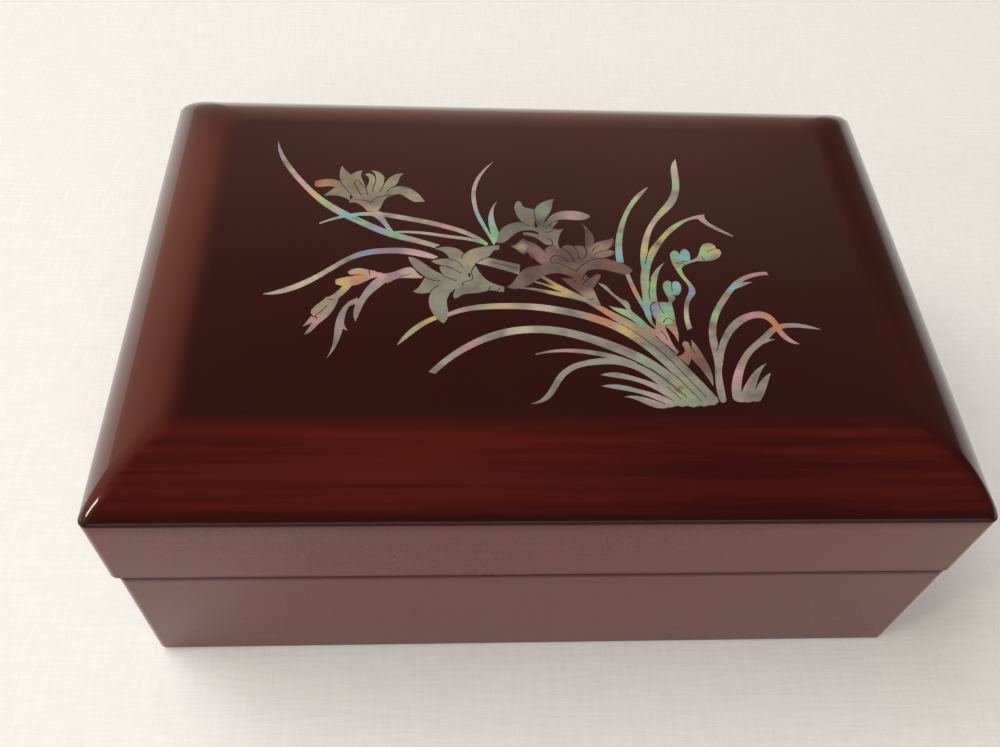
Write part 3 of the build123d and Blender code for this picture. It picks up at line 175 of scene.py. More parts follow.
class Finish(Wiring):
    """A material, with a Principled shader at its end."""

    def __init__(self, name):
        self.material = bpy.data.materials.new(name)
        self.material.use_nodes = True
        super().__init__(self.material.node_tree)
        self.shader = self.tree.nodes.new("ShaderNodeBsdfPrincipled")
        output = self.tree.nodes.new("ShaderNodeOutputMaterial")
        self.tree.links.new(self.shader.outputs[0], output.inputs[0])

    def place(self):
        """The point on the surface in the box's own frame, in metres."""
        return self.node("ShaderNodeTexCoord", {}, {}, "Object")

    def stretched(self, vector, scale):
        return self.node("ShaderNodeMapping", {"vector_type": "POINT"}, {"Vector": vector, "Scale": scale})

    def noise(self, vector, scale, detail=3.0, roughness=0.55):
        inputs = {"Vector": vector, "Scale": scale, "Detail": detail, "Roughness": roughness}
        return self.node("ShaderNodeTexNoise", {"noise_dimensions": "3D"}, inputs)

    def bump(self, height, distance, strength=1.0):
        inputs = {"Height": height, "Distance": distance, "Strength": strength}
        return self.node("ShaderNodeBump", {}, inputs)

    def set(self, **sockets):
        """Feeds the Principled shader; a name's underscores stand for spaces."""
        for name, value in sockets.items():
            self.feed(self.shader.inputs[name.replace("_", " ")], value)
        return self.material


def dress(piece, material):
    """Gives a piece, or a CAD node, one material."""
    piece.data.materials.clear()
    piece.data.materials.append(material)
    return piece


# %% [markdown]
# ## Light
#
# Dark lacquer shows little but what it reflects, so the room around it is most of its
# looks. Its walls are warm. They glow to the left, where the window is, and straight behind.
# The right side and the ceiling are dim, which keeps the flat of the lid nearly black.
# Two large lamps give the even daylight on the cloth. They are hidden from reflections,
# because their hard rectangles would show in the lid. A small third lamp does show: it puts
# the bright glint on the front left corner.
#
# The standard view keeps the deep reds deep while the cloth comes close to white.

# %% Light
WARM_WALL = (1.0, 0.60, 0.45, 1)
BACKDROP = tint(238, 234, 226)


def soft_light(name, place, target, width, height, power, colour, mirrored=False):
    """A rectangular area light at place, facing target, in metres and watts."""
    light = bpy.data.lights.new(name, "AREA")
    light.shape, light.size, light.size_y = "RECTANGLE", width, height
    light.energy, light.color = power, colour
    lamp = bpy.data.objects.new(name, light)
    lamp.location = place
    lamp.rotation_euler = (Vector(place) - Vector(target)).to_track_quat("Z", "Y").to_euler()
    lamp.visible_glossy = mirrored
    bpy.context.scene.collection.objects.link(lamp)


def room_light():
    """The walls: light that depends on the direction looked in, all in soft steps. What the
    camera sees past the cloth is plain."""
    world = bpy.data.worlds.new("room")
    bpy.context.scene.world = world
    world.use_nodes = True
    room = Wiring(world.node_tree)
    x, y, z = room.parts(room.node("ShaderNodeTexCoord", {}, {}, "Generated"))
    left = room.step(0.3 * y - 0.95 * x, 0.0, 0.8) * room.step(z, 0.85, 0.40)
    behind = room.step(y, 0.1, 0.6) * room.step(z, 0.80, 0.58)
    middle = room.step((x - 0.1).size(), 0.45, 0.05)
    glow = 0.08 + 0.50 * left + behind * (0.12 + 0.50 * middle)
    direct = room.node("ShaderNodeLightPath", {}, {}, "Is Camera Ray")
    colour = room.mix(direct, WARM_WALL, BACKDROP)
    strength = glow * (1 - direct) + direct
    shine = room.node("ShaderNodeBackground", {}, {"Color": colour, "Strength": strength})
    output = room.tree.nodes.new("ShaderNodeOutputWorld")
    room.tree.links.new(shine.socket, output.inputs[0])


room_light()
soft_light("daylight", (-1.6, 0.60, 2.3), (0, 0, 0), 2.4, 2.4, 73, (0.94, 1.0, 1.01))
soft_light("front_fill", (0.2, -2.0, 2.3), (0, 0, 0), 2.2, 2.2, 50, (0.95, 1.0, 1.01))
soft_light("window", (-1.30, -0.62, 0.60), (-0.09, -0.06, 0.07), 0.20, 0.45, 5, (1, 0.97, 0.93),
           mirrored=True)
bpy.context.scene.view_settings.view_transform = "Standard"


# %% [markdown]
# ## Surfaces from loops
#
# The lacquered halves of the box have no visible joints: lacquer covers the wood like a
# skin. So each half is one surface, a stack of rounded rectangles. Every loop has its own
# inset from the outside, its own height and its own corner radius, and the arrays of those
# three values are the profile that a cabinet maker would draw.

# %% Meshes from arrays
CORNER_STEPS = 8


def rounded_loops(rectangle, insets, heights, radii):
    """Rounded rectangles stacked in Z. A loop is the rectangle moved in by its inset; each
    corner is a quarter circle, centre plus radius times the cosine and sine of an angle."""
    x0, x1, y0, y1 = rectangle
    insets, heights, radii = (np.asarray(v, float)[:, None] for v in (insets, heights, radii))
    quarter = np.linspace(0, pi / 2, CORNER_STEPS + 1)[None]
    loops = []
    for turn, (x, y) in enumerate(((x1, y1), (x0, y1), (x0, y0), (x1, y0))):
        angle = quarter + turn * pi / 2
        toward_x, toward_y = (1 if x == x1 else -1), (1 if y == y1 else -1)
        centre_x = x - toward_x * (insets + radii)
        centre_y = y - toward_y * (insets + radii)
        loops.append(np.stack(np.broadcast_arrays(
            centre_x + radii * np.cos(angle), centre_y + radii * np.sin(angle), heights), axis=-1))
    return np.concatenate(loops, axis=1)


def grid_faces(rows, columns, close_rows, close_columns):
    """The four-sided faces of a grid of points, optionally joined end to end either way."""
    row = np.arange(rows if close_rows else rows - 1)
    column = np.arange(columns if close_columns else columns - 1)
    row, column = np.meshgrid(row, column, indexing="ij")
    after, beside = (row + 1) % rows, (column + 1) % columns
    corners = ((row, column), (row, beside), (after, beside), (after, column))
    return np.stack([r * columns + c for r, c in corners], axis=-1).reshape(-1, 4)


def make_piece(name, points, faces, sharp=40):
    """A mesh object at the origin from points in millimetres, shaded smooth up to an angle.
    Its faces are turned outwards as one closed surface."""
    mesh = bpy.data.meshes.new(name)
    places = np.asarray(points, float).reshape(-1, 3) * MM
    mesh.from_pydata(places.tolist(), [], [list(map(int, face)) for face in faces])
    mesh.validate()
    piece = bpy.data.objects.new(name, mesh)
    bpy.context.scene.collection.objects.link(piece)
    turn_outwards(mesh)
    mesh.shade_smooth()
    mesh.set_sharp_from_angle(angle=radians(sharp))
    return piece


def turn_outwards(mesh):
    """Flips every face if the closed mesh has a negative volume, the sum of each face's
    fan of triangles' corner triple products over six."""
    mesh.calc_loop_triangles()
    corners = np.empty(len(mesh.loop_triangles) * 3, np.int32)
    mesh.loop_triangles.foreach_get("vertices", corners)
    points = np.empty(len(mesh.vertices) * 3, np.float64)
    mesh.vertices.foreach_get("co", points)
    a, b, c = points.reshape(-1, 3)[corners.reshape(-1, 3)].transpose(1, 0, 2)
    if np.einsum("ij,ij->i", a, np.cross(b, c)).sum() < 0:
        mesh.flip_normals()


def settle(piece):
    """Applies the modifiers, so that the mesh itself is what they made."""
    graph = bpy.context.evaluated_depsgraph_get()
    mesh = bpy.data.meshes.new_from_object(piece.evaluated_get(graph))
    piece.modifiers.clear()
    piece.data = mesh
    return piece


def cut_away(piece, cutters):
    """Takes the cutters' shapes out of a closed piece, and removes the cutters."""
    for cutter in cutters:
        boolean = piece.modifiers.new("cut", "BOOLEAN")
        boolean.operation, boolean.solver, boolean.object = "DIFFERENCE", "EXACT", cutter
    settle(piece)
    for cutter in cutters:
        bpy.data.objects.remove(cutter)
    piece.data.shade_smooth()
    piece.data.set_sharp_from_angle(angle=radians(40))
    even = piece.modifiers.new("even shading", "WEIGHTED_NORMAL")
    even.keep_sharp, even.weight = True, 100
    return settle(piece)


# %% Places that the CAD model gives
def millimetres(node):
    """A node's box as x0, x1, y0, y1, z0, z1."""
    low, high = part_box(node)
    return [value / MM for pair in zip(low, high) for value in pair]


base_left = millimetres("base_left_wall")
base_right = millimetres("base_right_wall")
lid_board = millimetres("lid_top_board")
lid_front = millimetres("lid_front_rail")
liner_left, liner_right = millimetres("base_liner_left"), millimetres("base_liner_right")
liner_front, liner_back = millimetres("base_liner_front"), millimetres("base_liner_back")
BASE = (base_left[0], base_right[1], base_left[2], base_left[3])
LID = tuple(lid_board[:4])
CAVITY = (liner_left[0], liner_right[1], liner_front[2], liner_back[3])
FELT_TOP, BASE_RIM = base_left[4], base_left[5]
LID_RIM, BOARD_LOW, TOP = lid_front[4], lid_board[4], lid_board[5]
ARRIS = 64.5                # where the lid's upright face meets its shoulder
SHOULDER = 18.0             # how far in from the sides the flat top begins
CORNER, RIM, EASED = 2.0, 0.8, 0.22     # radii of the upright corners, the rims and the arris
print("lid", LID, "rim", LID_RIM, "top", TOP)

# %% [markdown]
# ## The hinge side
#
# Both back edges are bevelled, so that the open lid comes to lean on the base. The hinge
# leaves lie in shallow mortises, and their barrels in a round recess. Wood is cut away for
# all three, here as in the workshop, with shapes that are subtracted from the skin.

# %% Shapes to cut away at the back edge
HINGE_AXIS_Y, HINGE_AXIS_Z = 59.5, (BASE_RIM + LID_RIM) / 2
BEVEL_SLOPE = radians(50.3)
BEVEL_REACH = 4.0
RECESS_RADIUS, RECESS_END = 1.7, 0.4
RECESS_SIDES = 32
MORTISE = 0.9


def slab(name, box):
    """A plain box used only as a cutter."""
    x0, x1, y0, y1, z0, z1 = box
    loop = np.array([[x0, y0], [x1, y0], [x1, y1], [x0, y1]])
    points = [[*corner, z] for z in (z0, z1) for corner in loop]
    faces = grid_faces(2, 4, False, True).tolist() + [[3, 2, 1, 0], [4, 5, 6, 7]]
    return make_piece(name, points, faces)


def bevel_cutter(name, rim, direction):
    """A three-sided bar along X: from the hinge line out past the back, sloping away from the rim."""
    rise = direction * BEVEL_REACH * np.tan(BEVEL_SLOPE)
    outside = HINGE_AXIS_Y + BEVEL_REACH
    section = [[HINGE_AXIS_Y, rim], [HINGE_AXIS_Y, rim - direction],
               [outside, rim - direction], [outside, rim + rise]]
    points = [[x, *corner] for x in (LID[0] - 5, LID[1] + 5) for corner in section]
    faces = grid_faces(2, 4, False, True).tolist() + [[3, 2, 1, 0], [4, 5, 6, 7]]
    return make_piece(name, points, faces)


def barrel_cutter(name, x0, x1):
    """A round bar along X: the circle about the hinge axis, carried from x0 to x1."""
    angle = np.linspace(0, 2 * pi, RECESS_SIDES, endpoint=False)
    across = HINGE_AXIS_Y + RECESS_RADIUS * np.cos(angle)
    height = HINGE_AXIS_Z + RECESS_RADIUS * np.sin(angle)
    points = [[x, *corner] for x in (x0, x1) for corner in zip(across, height)]
    ends = [list(range(RECESS_SIDES))[::-1], list(range(RECESS_SIDES, 2 * RECESS_SIDES))]
    return make_piece(name, points, grid_faces(2, RECESS_SIDES, False, True).tolist() + ends)


def hinge_cutters(half, leaf_low, leaf_high):
    """Mortises and recesses for both hinges in one half of the box."""
    cutters = []
    for side in ("left", "right"):
        x0, x1, y0, _, _, _ = millimetres(f"hinge_{side}_{half}_leaf")
        cutters.append(slab("mortise", (x0, x1, y0, HINGE_AXIS_Y, leaf_low, leaf_high)))
        cutters.append(barrel_cutter("recess", x0 - RECESS_END, x1 + RECESS_END))
    return cutters


# %% [markdown]
# ## The lid's skin
#
# Upright sides, a crisp arris, then a shoulder: an arc that leaves the arris at a slope
# and meets the flat top level. The shoulders of neighbouring sides meet in mitred ridges,
# which polishing has softened, most of all near the top. So the loops' corner radius grows
# with the inset.

# %% Lid
SHOULDER_DROP = TOP - ARRIS
SHOULDER_RADIUS = (SHOULDER**2 + SHOULDER_DROP**2) / (2 * SHOULDER_DROP)
RIDGE_RADIUS = 6.0          # of the mitred ridges, at the flat top
quarter = np.linspace(0, pi / 2, 6)


def shoulder_height(inset):
    """Height of the shoulder: a circle whose centre is straight below the flat top's edge."""
    return TOP - SHOULDER_RADIUS + np.sqrt(SHOULDER_RADIUS**2 - (SHOULDER - inset) ** 2)


def lid_profile():
    """Insets and heights from the rim, over the rounded arris and up the shoulder."""
    rim_inset, rim_height = RIM * (1 - np.sin(quarter)), LID_RIM + RIM * (1 - np.cos(quarter))
    slope = np.arctan2(shoulder_height(1.0) - ARRIS, 1.0)
    turn = np.linspace(0, pi / 2 - slope, 5)
    arris_inset = EASED * (1 - np.cos(turn))
    arris_height = ARRIS - 0.12 - EASED * (np.sin(turn[-1]) - np.sin(turn))
    arc = np.concatenate([np.linspace(0.30, 3, 5), np.linspace(3.8, SHOULDER, 26)])
    insets = np.concatenate([rim_inset, arris_inset, arc])
    return insets, np.concatenate([rim_height, arris_height, shoulder_height(arc)])


outer_insets, outer_heights = lid_profile()
outer_radii = CORNER + (RIDGE_RADIUS - CORNER) * outer_insets / SHOULDER
inner = rounded_loops(CAVITY, [0, 0], [BOARD_LOW, LID_RIM], [0.5, 0.5])
outer = rounded_loops(LID, outer_insets, outer_heights, outer_radii)
points = np.concatenate([inner, outer])
rows, columns = points.shape[:2]
faces = grid_faces(rows, columns, False, True).tolist()
faces.append(list(range(columns))[::-1])
faces.append(list(range((rows - 1) * columns, rows * columns)))
lid_skin = make_piece("lid_lacquer", points, faces)
lid_cutters = hinge_cutters("lid", LID_RIM - 1, LID_RIM + MORTISE)
cut_away(lid_skin, [bevel_cutter("bevel", LID_RIM, 1), *lid_cutters])
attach(lid_skin, "lid")
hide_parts("lid_front_rail", "lid_back_rail", "lid_left_rail", "lid_right_rail", "lid_top_board")
print("lid skin:", len(lid_skin.data.polygons), "faces")

# %% [markdown]
# ## The base's skin
#
# The base is a plain frame of four boards with both outer rims rounded over. It is a tube
# in two directions, a loop of loops, so the last loop joins the first and nothing is left
# open.

# %% Base
rim_inset, rim_rise = RIM * (1 - np.sin(quarter)), RIM * (1 - np.cos(quarter))
insets = np.concatenate([rim_inset, rim_inset[::-1]])
heights = np.concatenate([FELT_TOP + rim_rise, BASE_RIM - rim_rise[::-1]])
outer = rounded_loops(BASE, insets, heights, np.maximum(CORNER - insets, 0.5))
inner = rounded_loops(CAVITY, [0, 0], [BASE_RIM, FELT_TOP], [0.5, 0.5])
points = np.concatenate([outer, inner])
rows, columns = points.shape[:2]
base_skin = make_piece("base_lacquer", points, grid_faces(rows, columns, True, True))
base_cutters = hinge_cutters("base", BASE_RIM - MORTISE, BASE_RIM + 1)
cut_away(base_skin, [bevel_cutter("bevel", BASE_RIM, -1), *base_cutters])
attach(base_skin, "base")
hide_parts("base_front_wall", "base_back_wall", "base_left_wall", "base_right_wall")
print("base skin:", len(base_skin.data.polygons), "faces")


# %% [markdown]
# ## Lacquer
#
# The colour lies in tinted coats over the wood, and a clear coat lies on top. Where the
# coats are thick, on the flat top, the box looks nearly black. Over the shoulders the red
# shows, most on the front one and the left one, least on the back and the right one. This
# is partly wear, where the coats are rubbed thinner, and partly painted light, because the
# front and left shoulders face the lamps. The left one is also painted a lighter brown,
# partly from handling and partly as painted light. The wood's grain runs along each board and
# shows only faintly. The upright faces carry a fine upright mottle, which is a painted
# reflection of the cloth's weave. The clear coat is very smooth but never perfectly flat,
# so its bump is a slow, shallow waviness. It is thinner on the upright faces, at the arris
# and in the seam. A band of painted dark reflection runs along the arris, and painted
# shade lies in the seam.
#
# A noise's scale is how many of its patches there are in a metre. Stretched by three scales,
# it becomes streaks along the direction that has the smallest one.

# %% Lacquer finish
SEAM_MIDDLE = 40.7          # where the painted shade in the seam is strongest, just under the base's rim


def lacquer():
    """Places and heights are compared in millimetres; the noises work in metres."""
    finish = Finish("lacquer")
    place = finish.place()
    x, y, z = (part * (1 / MM) for part in finish.parts(place))
    from_end = LID[1] - x.size()
    from_side = LID[3] - y.size()
    # past the mitre line a point belongs to an end board, whose grain runs along Y
    past_mitre = from_side - from_end
    on_end = finish.step(past_mitre, -0.4, 0.4)
    mitre = finish.step(past_mitre, -1.8, 1.8)
    left, right = finish.step(x, 20, -20), finish.step(x, -20, 20)
    left_end, right_end = mitre * left, mitre * right

    along_front = finish.noise(finish.stretched(place, (14, 420, 420)), 1.0, 4, 0.6)
    along_end = finish.noise(finish.stretched(place, (420, 14, 420)), 1.0, 4, 0.6)
    grain = finish.mix(on_end, along_front, along_end)
    broad = finish.noise(finish.stretched(place, (9, 60, 60)), 1.0, 2, 0.5)
    cloud = finish.noise(place, 22, 2, 0.5)
    # an upright mottle for the upright faces: a painted reflection of the cloth's weave
    painted_weave_reflection = finish.noise(finish.stretched(place, (900, 900, 260)), 1.0, 2, 0.6)
    dusting = finish.noise(finish.stretched(place, (900, 150, 400)), 1.0, 2, 0.6)
    streaks = 0.65 * grain + 0.35 * broad

    # masks: 1 where their name is true
    inset = from_end.lesser(from_side) + 2.2 * (cloud - 0.5)
    off_the_flat = finish.step(inset, 19.5, 14.0)
    upright = finish.step(z, ARRIS + 0.5, ARRIS - 0.5)
    # painted dark reflection in a band just above the arris, and a weaker band just under it
    painted_dark_above_arris = finish.step(z, ARRIS + 3.5, ARRIS + 0.3)
    painted_dark_below_arris = finish.step(z, ARRIS - 4.0, ARRIS - 0.3)
    arris = finish.step((z - ARRIS).size(), 0.7, 0.3)
    # painted shade in the seam between lid and base
    seam = finish.step((z - SEAM_MIDDLE).size(), 2.3, 0.7)
    on_shoulder = (1 - upright) * finish.step(inset, 19, 12)

    deep = finish.mix(cloud, tint(38, 13, 11), tint(47, 17, 14))
    rubbed = finish.mix(finish.step(streaks, 0.3, 0.7), tint(49, 10, 8), tint(79, 22, 15))
    # the left shoulder's lighter brown: partly handling, partly painted light
    handled_and_lit = finish.mix(streaks, tint(74, 30, 21), tint(98, 46, 32))
    # the upright faces' colour: grain, with the painted reflection of the cloth's weave
    side = finish.mix(0.6 * grain + 0.4 * painted_weave_reflection, tint(74, 14, 11), tint(106, 34, 28))
    # painted dark band at the top of the upright faces, just under the arris
    side = finish.mix(0.5 * painted_dark_below_arris, side, tint(62, 12, 9))
    # painted dark reflection for the arris band, and painted shade for the seam
    dark, painted_seam_shade = tint(34, 8, 7), tint(52, 9, 7)

    # wear and painted light: the front and left shoulders face the lamps and show more red, the back and
    # right ones less
    wear_and_light_along = 0.12 + 0.88 * finish.step(y, 20, -20)
    wear_and_light_end = 0.20 + 0.42 * left
    wear_and_light = wear_and_light_along + mitre * (wear_and_light_end - wear_and_light_along)
    worn_and_lit = finish.mix(left_end * finish.step(y, 56, 20), rubbed, handled_and_lit)
    colour = finish.mix(wear_and_light * off_the_flat, deep, worn_and_lit)
    # painted dark reflection above the arris
    colour = finish.mix(0.9 * painted_dark_above_arris, colour, dark)
    colour = finish.mix(finish.step(z, ARRIS - 0.05, ARRIS - 0.20), colour, side)
    # painted shade in the seam
    colour = finish.mix(0.8 * seam, colour, painted_seam_shade)

    coat = (1 - 0.34 * upright) * (1 - 0.80 * seam) * (1 - 0.70 * arris)
    coat = coat * (1 - 0.25 * painted_dark_below_arris * upright)
    coat = coat - on_shoulder * (0.30 * left_end + 0.50 * right_end)
    waviness = finish.bump(finish.noise(place, 60, 2, 0.4), 0.06 * MM, 0.35)
    return finish.set(Base_Color=colour, Roughness=0.18 + 0.06 * dusting, Normal=waviness, IOR=1.5,
                      Coat_Weight=coat, Coat_Roughness=0.035, Coat_IOR=1.5, Specular_IOR_Level=0.06)


lacquer_finish = lacquer()
dress(lid_skin, lacquer_finish)
dress(base_skin, lacquer_finish)

# %% [markdown]
# ## Mother-of-pearl
#
# Nacre is built of thin plates that split light, so its colour drifts from bone to pink,
# gold, green and blue over a few millimetres. The drift belongs to each sheet of shell and
# can't be worked out from the outline. So each group of leaves has a short list of places
# where a hue is strongest and how far it reaches. Streaks of noise bend the places' edges,
# because the plates lie in wavy rows, and give the shell its silky grain.

# %% Nacre finish
BONE = tint(186, 176, 162)
BEND = 2.2                  # how far the plates' waviness shifts the edge of a hue


def nacre(name, ground, hues, dark=tint(122, 116, 106)):
    """A pearl finish: the ground colour, then each hue fading with distance from its place."""
    finish = Finish(name)
    place = finish.place()
    streaks = finish.noise(finish.stretched(place, (260, 900, 260)), 1.0, 3, 0.6)
    cloud = finish.noise(place, 210, 2, 0.5)
    rows = finish.node("ShaderNodeTexNoise", {}, {"Vector": place, "Scale": 330.0}, "Color")
    shift = finish.node("ShaderNodeVectorMath", {"operation": "SCALE"}, {0: rows, "Scale": BEND * MM})
    bent = finish.node("ShaderNodeVectorMath", {"operation": "ADD"}, {0: place, 1: shift})
    colour = finish.mix(finish.step(cloud, 0.35, 0.75), ground, dark)
    for x, y, reach, hue in hues:
        # the shift is BEND / 2 on average, so the spot moves by as much
        spot = [(value + BEND / 2) * MM for value in (x, y, TOP)]
        gap = finish.node("ShaderNodeVectorMath", {"operation": "DISTANCE"}, {0: bent, 1: spot}, "Value")
        share = finish.step(gap, 1.15 * reach * MM, 0.2 * reach * MM)
        colour = finish.mix(0.8 * share, colour, hue)
    silk = finish.mix(streaks, tint(188, 186, 184), tint(255, 254, 250))
    colour = finish.mix(0.8, colour, silk, "MULTIPLY")
    ripple = finish.bump(streaks, 0.04 * MM, 0.5)
    return finish.set(Base_Color=colour, Roughness=0.24 + 0.16 * streaks, Normal=ripple, Metallic=0.12,
                      IOR=1.56, Coat_Weight=0.6, Coat_Roughness=0.06)


# each hue: X and Y of its place, how far it reaches, its colour; a blossom may name its own dark
PINK = tint(218, 164, 176)
ROSE = tint(200, 150, 150)
GOLD = tint(214, 188, 124)
ORANGE = tint(206, 138, 104)
GREEN = tint(160, 204, 140)
JADE = tint(132, 190, 150)
AQUA = tint(134, 190, 196)
SKY = tint(140, 156, 186)
VIOLET = tint(160, 130, 156)
CREAM = tint(208, 196, 170)
PLUM = tint(104, 80, 76)

PEARL = {
    "pearl_leaves_left": (BONE, [
        (-8.5, -2.6, 4.5, tint(104, 98, 96)), (-5, -4, 3, tint(96, 90, 88)),
        (-60.5, 34, 7, tint(150, 148, 158)), (-54.2, 22, 4, PINK), (-51, 18.5, 3, GOLD),
        (-48, 15.4, 3, GREEN), (-43.4, 11.9, 3, AQUA), (-40, 9.6, 3, GREEN), (-36, 7.4, 4, SKY),
        (-32, 5.5, 3, JADE), (-41, 11.6, 3, AQUA), (-20, 7.6, 4, ROSE), (-50, -8.5, 6, CREAM),
        (-38, 0.2, 4, SKY), (-32.5, 0.6, 4, VIOLET), (-27, 0, 4, PINK),
        (-12, 25, 5, tint(176, 164, 164)), (-13, 10, 5, AQUA), (-10, 6, 5, JADE), (-11, 3.4, 3, GREEN)]),
    "pearl_blossom_left": (tint(150, 144, 124), [
        (-51, 22, 2.2, tint(190, 92, 60)), (-48, 21, 3, tint(176, 140, 96)),
        (-38.2, 13.4, 1.6, ORANGE), (-36.5, 12, 2.4, GREEN), (-36.5, 23.5, 4, tint(168, 164, 134)),
        (-28, 17.5, 4, tint(160, 160, 136)), (-42, 21, 3, tint(132, 116, 88))]),
    "pearl_blossom_front": (tint(144, 146, 128), [
        (-15, -1.5, 4, tint(176, 168, 136)), (-26, -4, 4, tint(140, 132, 122)),
        (-18, -8, 4, tint(156, 156, 138)), (-17, -11.6, 3, tint(126, 118, 108)),
        (-22, -14, 5, tint(146, 152, 134)), (-12, 1, 4, tint(150, 142, 128))]),
    "pearl_blossom_top": (tint(128, 128, 114), [
        (2, 14, 3.0, tint(128, 160, 130)), (9, 13, 4, tint(186, 160, 152)),
        (-4, 8.5, 3, tint(96, 112, 102)), (1.4, 9.6, 3, tint(84, 84, 78)),
        (-7, 6, 3, tint(128, 122, 114)), (-3, 15, 3, tint(126, 136, 120))]),
    "pearl_blossom_right": (tint(120, 100, 94), [
        (-3.6, 2.2, 1.6, tint(176, 158, 132)), (-1, 1.6, 2.0, tint(134, 118, 108)),
        (6, 0.6, 3.5, PLUM), (8.4, -7, 4, tint(112, 82, 72)), (11, -12.4, 3, tint(172, 156, 134)),
        (14.5, 1.8, 3.4, tint(168, 142, 128)), (17, -3, 4, tint(130, 98, 88)),
        (1, -1, 3, tint(156, 118, 116)), (-5, -8.6, 3, tint(132, 114, 104))], tint(92, 74, 68)),
    "pearl_buds": (tint(168, 152, 132), [
        (-40, -5.6, 3, tint(206, 182, 132)), (-43, -9, 3, GOLD), (-39.4, -8.4, 2.6, ORANGE),
        (-35.6, -6.8, 3, PINK), (-28, -5.8, 3, tint(206, 184, 172)), (-31.5, -6.6, 2, VIOLET),
        (-37, -11, 4, tint(164, 160, 164)), (-42.5, -19, 5, tint(160, 146, 150)),
        (-47, -15.5, 3, tint(156, 154, 122)), (-46.5, -20, 3, ROSE), (31, 0, 3, JADE),
        (33.6, 0, 3, AQUA), (32, -6, 4, GREEN), (33, -11, 3, SKY), (31, -18, 3, CREAM),
        (38, 1.4, 3, GREEN), (40.6, 1.8, 2, GOLD), (28, -10, 3, JADE), (30.2, -9.4, 2.4, AQUA),
        (24.6, -16, 2.4, SKY), (27, -16, 2.6, JADE), (26.3, -18.4, 2.2, GREEN), (25.2, -24, 4, ROSE),
        (27.6, -22, 2, ORANGE), (29.8, -28, 3.4, tint(164, 112, 92)),
        (32.6, -31, 5, tint(112, 84, 74))]),
    "pearl_leaves_front": (tint(160, 158, 144), [
        (27.6, -40, 6, tint(146, 158, 138)), (14, -38, 5, tint(152, 166, 158)),
        (21, -30, 4, tint(156, 172, 150)), (14, -16.9, 4, ORANGE), (3, -8.8, 5, tint(120, 98, 82)),
        (20, -21.5, 4, tint(170, 138, 108)), (4, -11, 4, GOLD), (-28, -22.5, 5, tint(180, 184, 138)),
        (-23.6, -19, 3, GOLD), (-18.6, -17, 4, ROSE), (-9, -15.2, 5, tint(206, 188, 140)),
        (0, -15.4, 4, CREAM), (12, -18.8, 4, ORANGE), (17.2, -21.8, 3, GOLD), (-5, -21.8, 4, CREAM),
        (-16, -25.8, 4, ROSE), (4, -27.4, 4, ROSE), (22, -31.2, 4, tint(150, 160, 140)),
        (27, -37, 4, tint(164, 166, 132)), (14, -30, 4, tint(172, 166, 150)),
        (26.6, -37.4, 1.0, tint(148, 96, 30)), (20, -35.6, 5, tint(176, 164, 156)),
        (22, -39, 4, tint(188, 170, 160))]),
    "pearl_leaves_right": (tint(164, 156, 144), [
        (18.3, 0, 3.4, AQUA), (19, 5.6, 3, JADE), (20.8, 12, 4, GREEN),
        (23.4, 17.4, 3.4, tint(178, 202, 150)), (26.8, 21.4, 3, ROSE), (35.3, 30, 4, CREAM),
        (34.6, 24, 4, GREEN), (30, 14, 4, tint(186, 200, 150)), (26, 8, 4, CREAM), (24, 2, 4, GOLD),
        (38, 12.4, 3, ROSE), (33, 10, 3.4, GREEN), (29.4, 6.4, 3, GOLD),
        (27.4, 4, 1.6, tint(140, 124, 60)), (25, -3, 4, JADE), (24.6, -8.6, 3, GREEN),
        (22.9, -12, 3, JADE), (22.8, -16.4, 3, AQUA), (20.4, -10, 3, ORANGE), (20.4, -19.4, 3, JADE),
        (24.2, -23, 3, ORANGE), (17, -16.6, 3, GREEN), (49, -5.2, 4, ROSE), (43, -9.6, 2.6, AQUA),
        (37.4, -17.6, 2.6, GREEN), (39, -33, 4, PINK), (49.2, -18.8, 3, ORANGE),
        (50.6, -21, 2.6, ORANGE), (45.4, -17.4, 3, ROSE), (53, -24.4, 3, ROSE),
        (43, -27.6, 4, tint(160, 150, 128))]),
}
for name, facts in PEARL.items():
    dress(nodes[name], nacre(name, *facts))
print(len(PEARL), "groups of shell,", sum(len(facts[1]) for facts in PEARL.values()), "places of hue")

# %% [markdown]
# ## Velvet over card
#
# The linings and the tray are card and thin board, wrapped in velvet and glued. Cloth
# rounds every edge that it passes over. A board is a box whose points are pushed out from
# a smaller box by one radius: the classic rounded box, worked out for all points at once.

# %% Velvet-covered boards
EDGE_STEPS = 3
WRAP = 0.45                 # radius that the velvet gives to an edge


def rounded_board(name, box, radius):
    """A box with round edges. A point of a plain box's grid is drawn back to the box that is
    smaller by the radius, then pushed out again by the radius along that line."""
    low, high = np.array(box[0::2]), np.array(box[1::2])
    centre, half = (low + high) / 2, (high - low) / 2
    fan = radius * (1 - np.tan(np.linspace(pi / 4, 0, EDGE_STEPS + 1)))
    sides = []
    for axis in range(3):
        across, along = (axis + 1) % 3, (axis + 2) % 3
        spread = [np.concatenate([-half[i] + fan, half[i] - fan[::-1]]) for i in (across, along)]
        u, v = np.meshgrid(*spread, indexing="ij")
        for sign in (-1, 1):
            side = np.empty((*u.shape, 3))
            side[..., axis], side[..., across], side[..., along] = sign * half[axis], u, v
            sides.append(side.reshape(-1, 3))
    points = np.concatenate(sides)
    core = np.clip(points, -(half - radius), half - radius)
    out = points - core
    points = core + radius * out / np.linalg.norm(out, axis=1, keepdims=True)
    size = 2 * (EDGE_STEPS + 1)
    one_side = grid_faces(size, size, False, False)
    faces = np.concatenate([
        (one_side if side % 2 else one_side[:, ::-1]) + side * size * size for side in range(6)])
    unique, index = np.unique(np.round(points, 5), axis=0, return_inverse=True)
    return make_piece(name, unique + centre, index.reshape(-1)[faces], sharp=60)


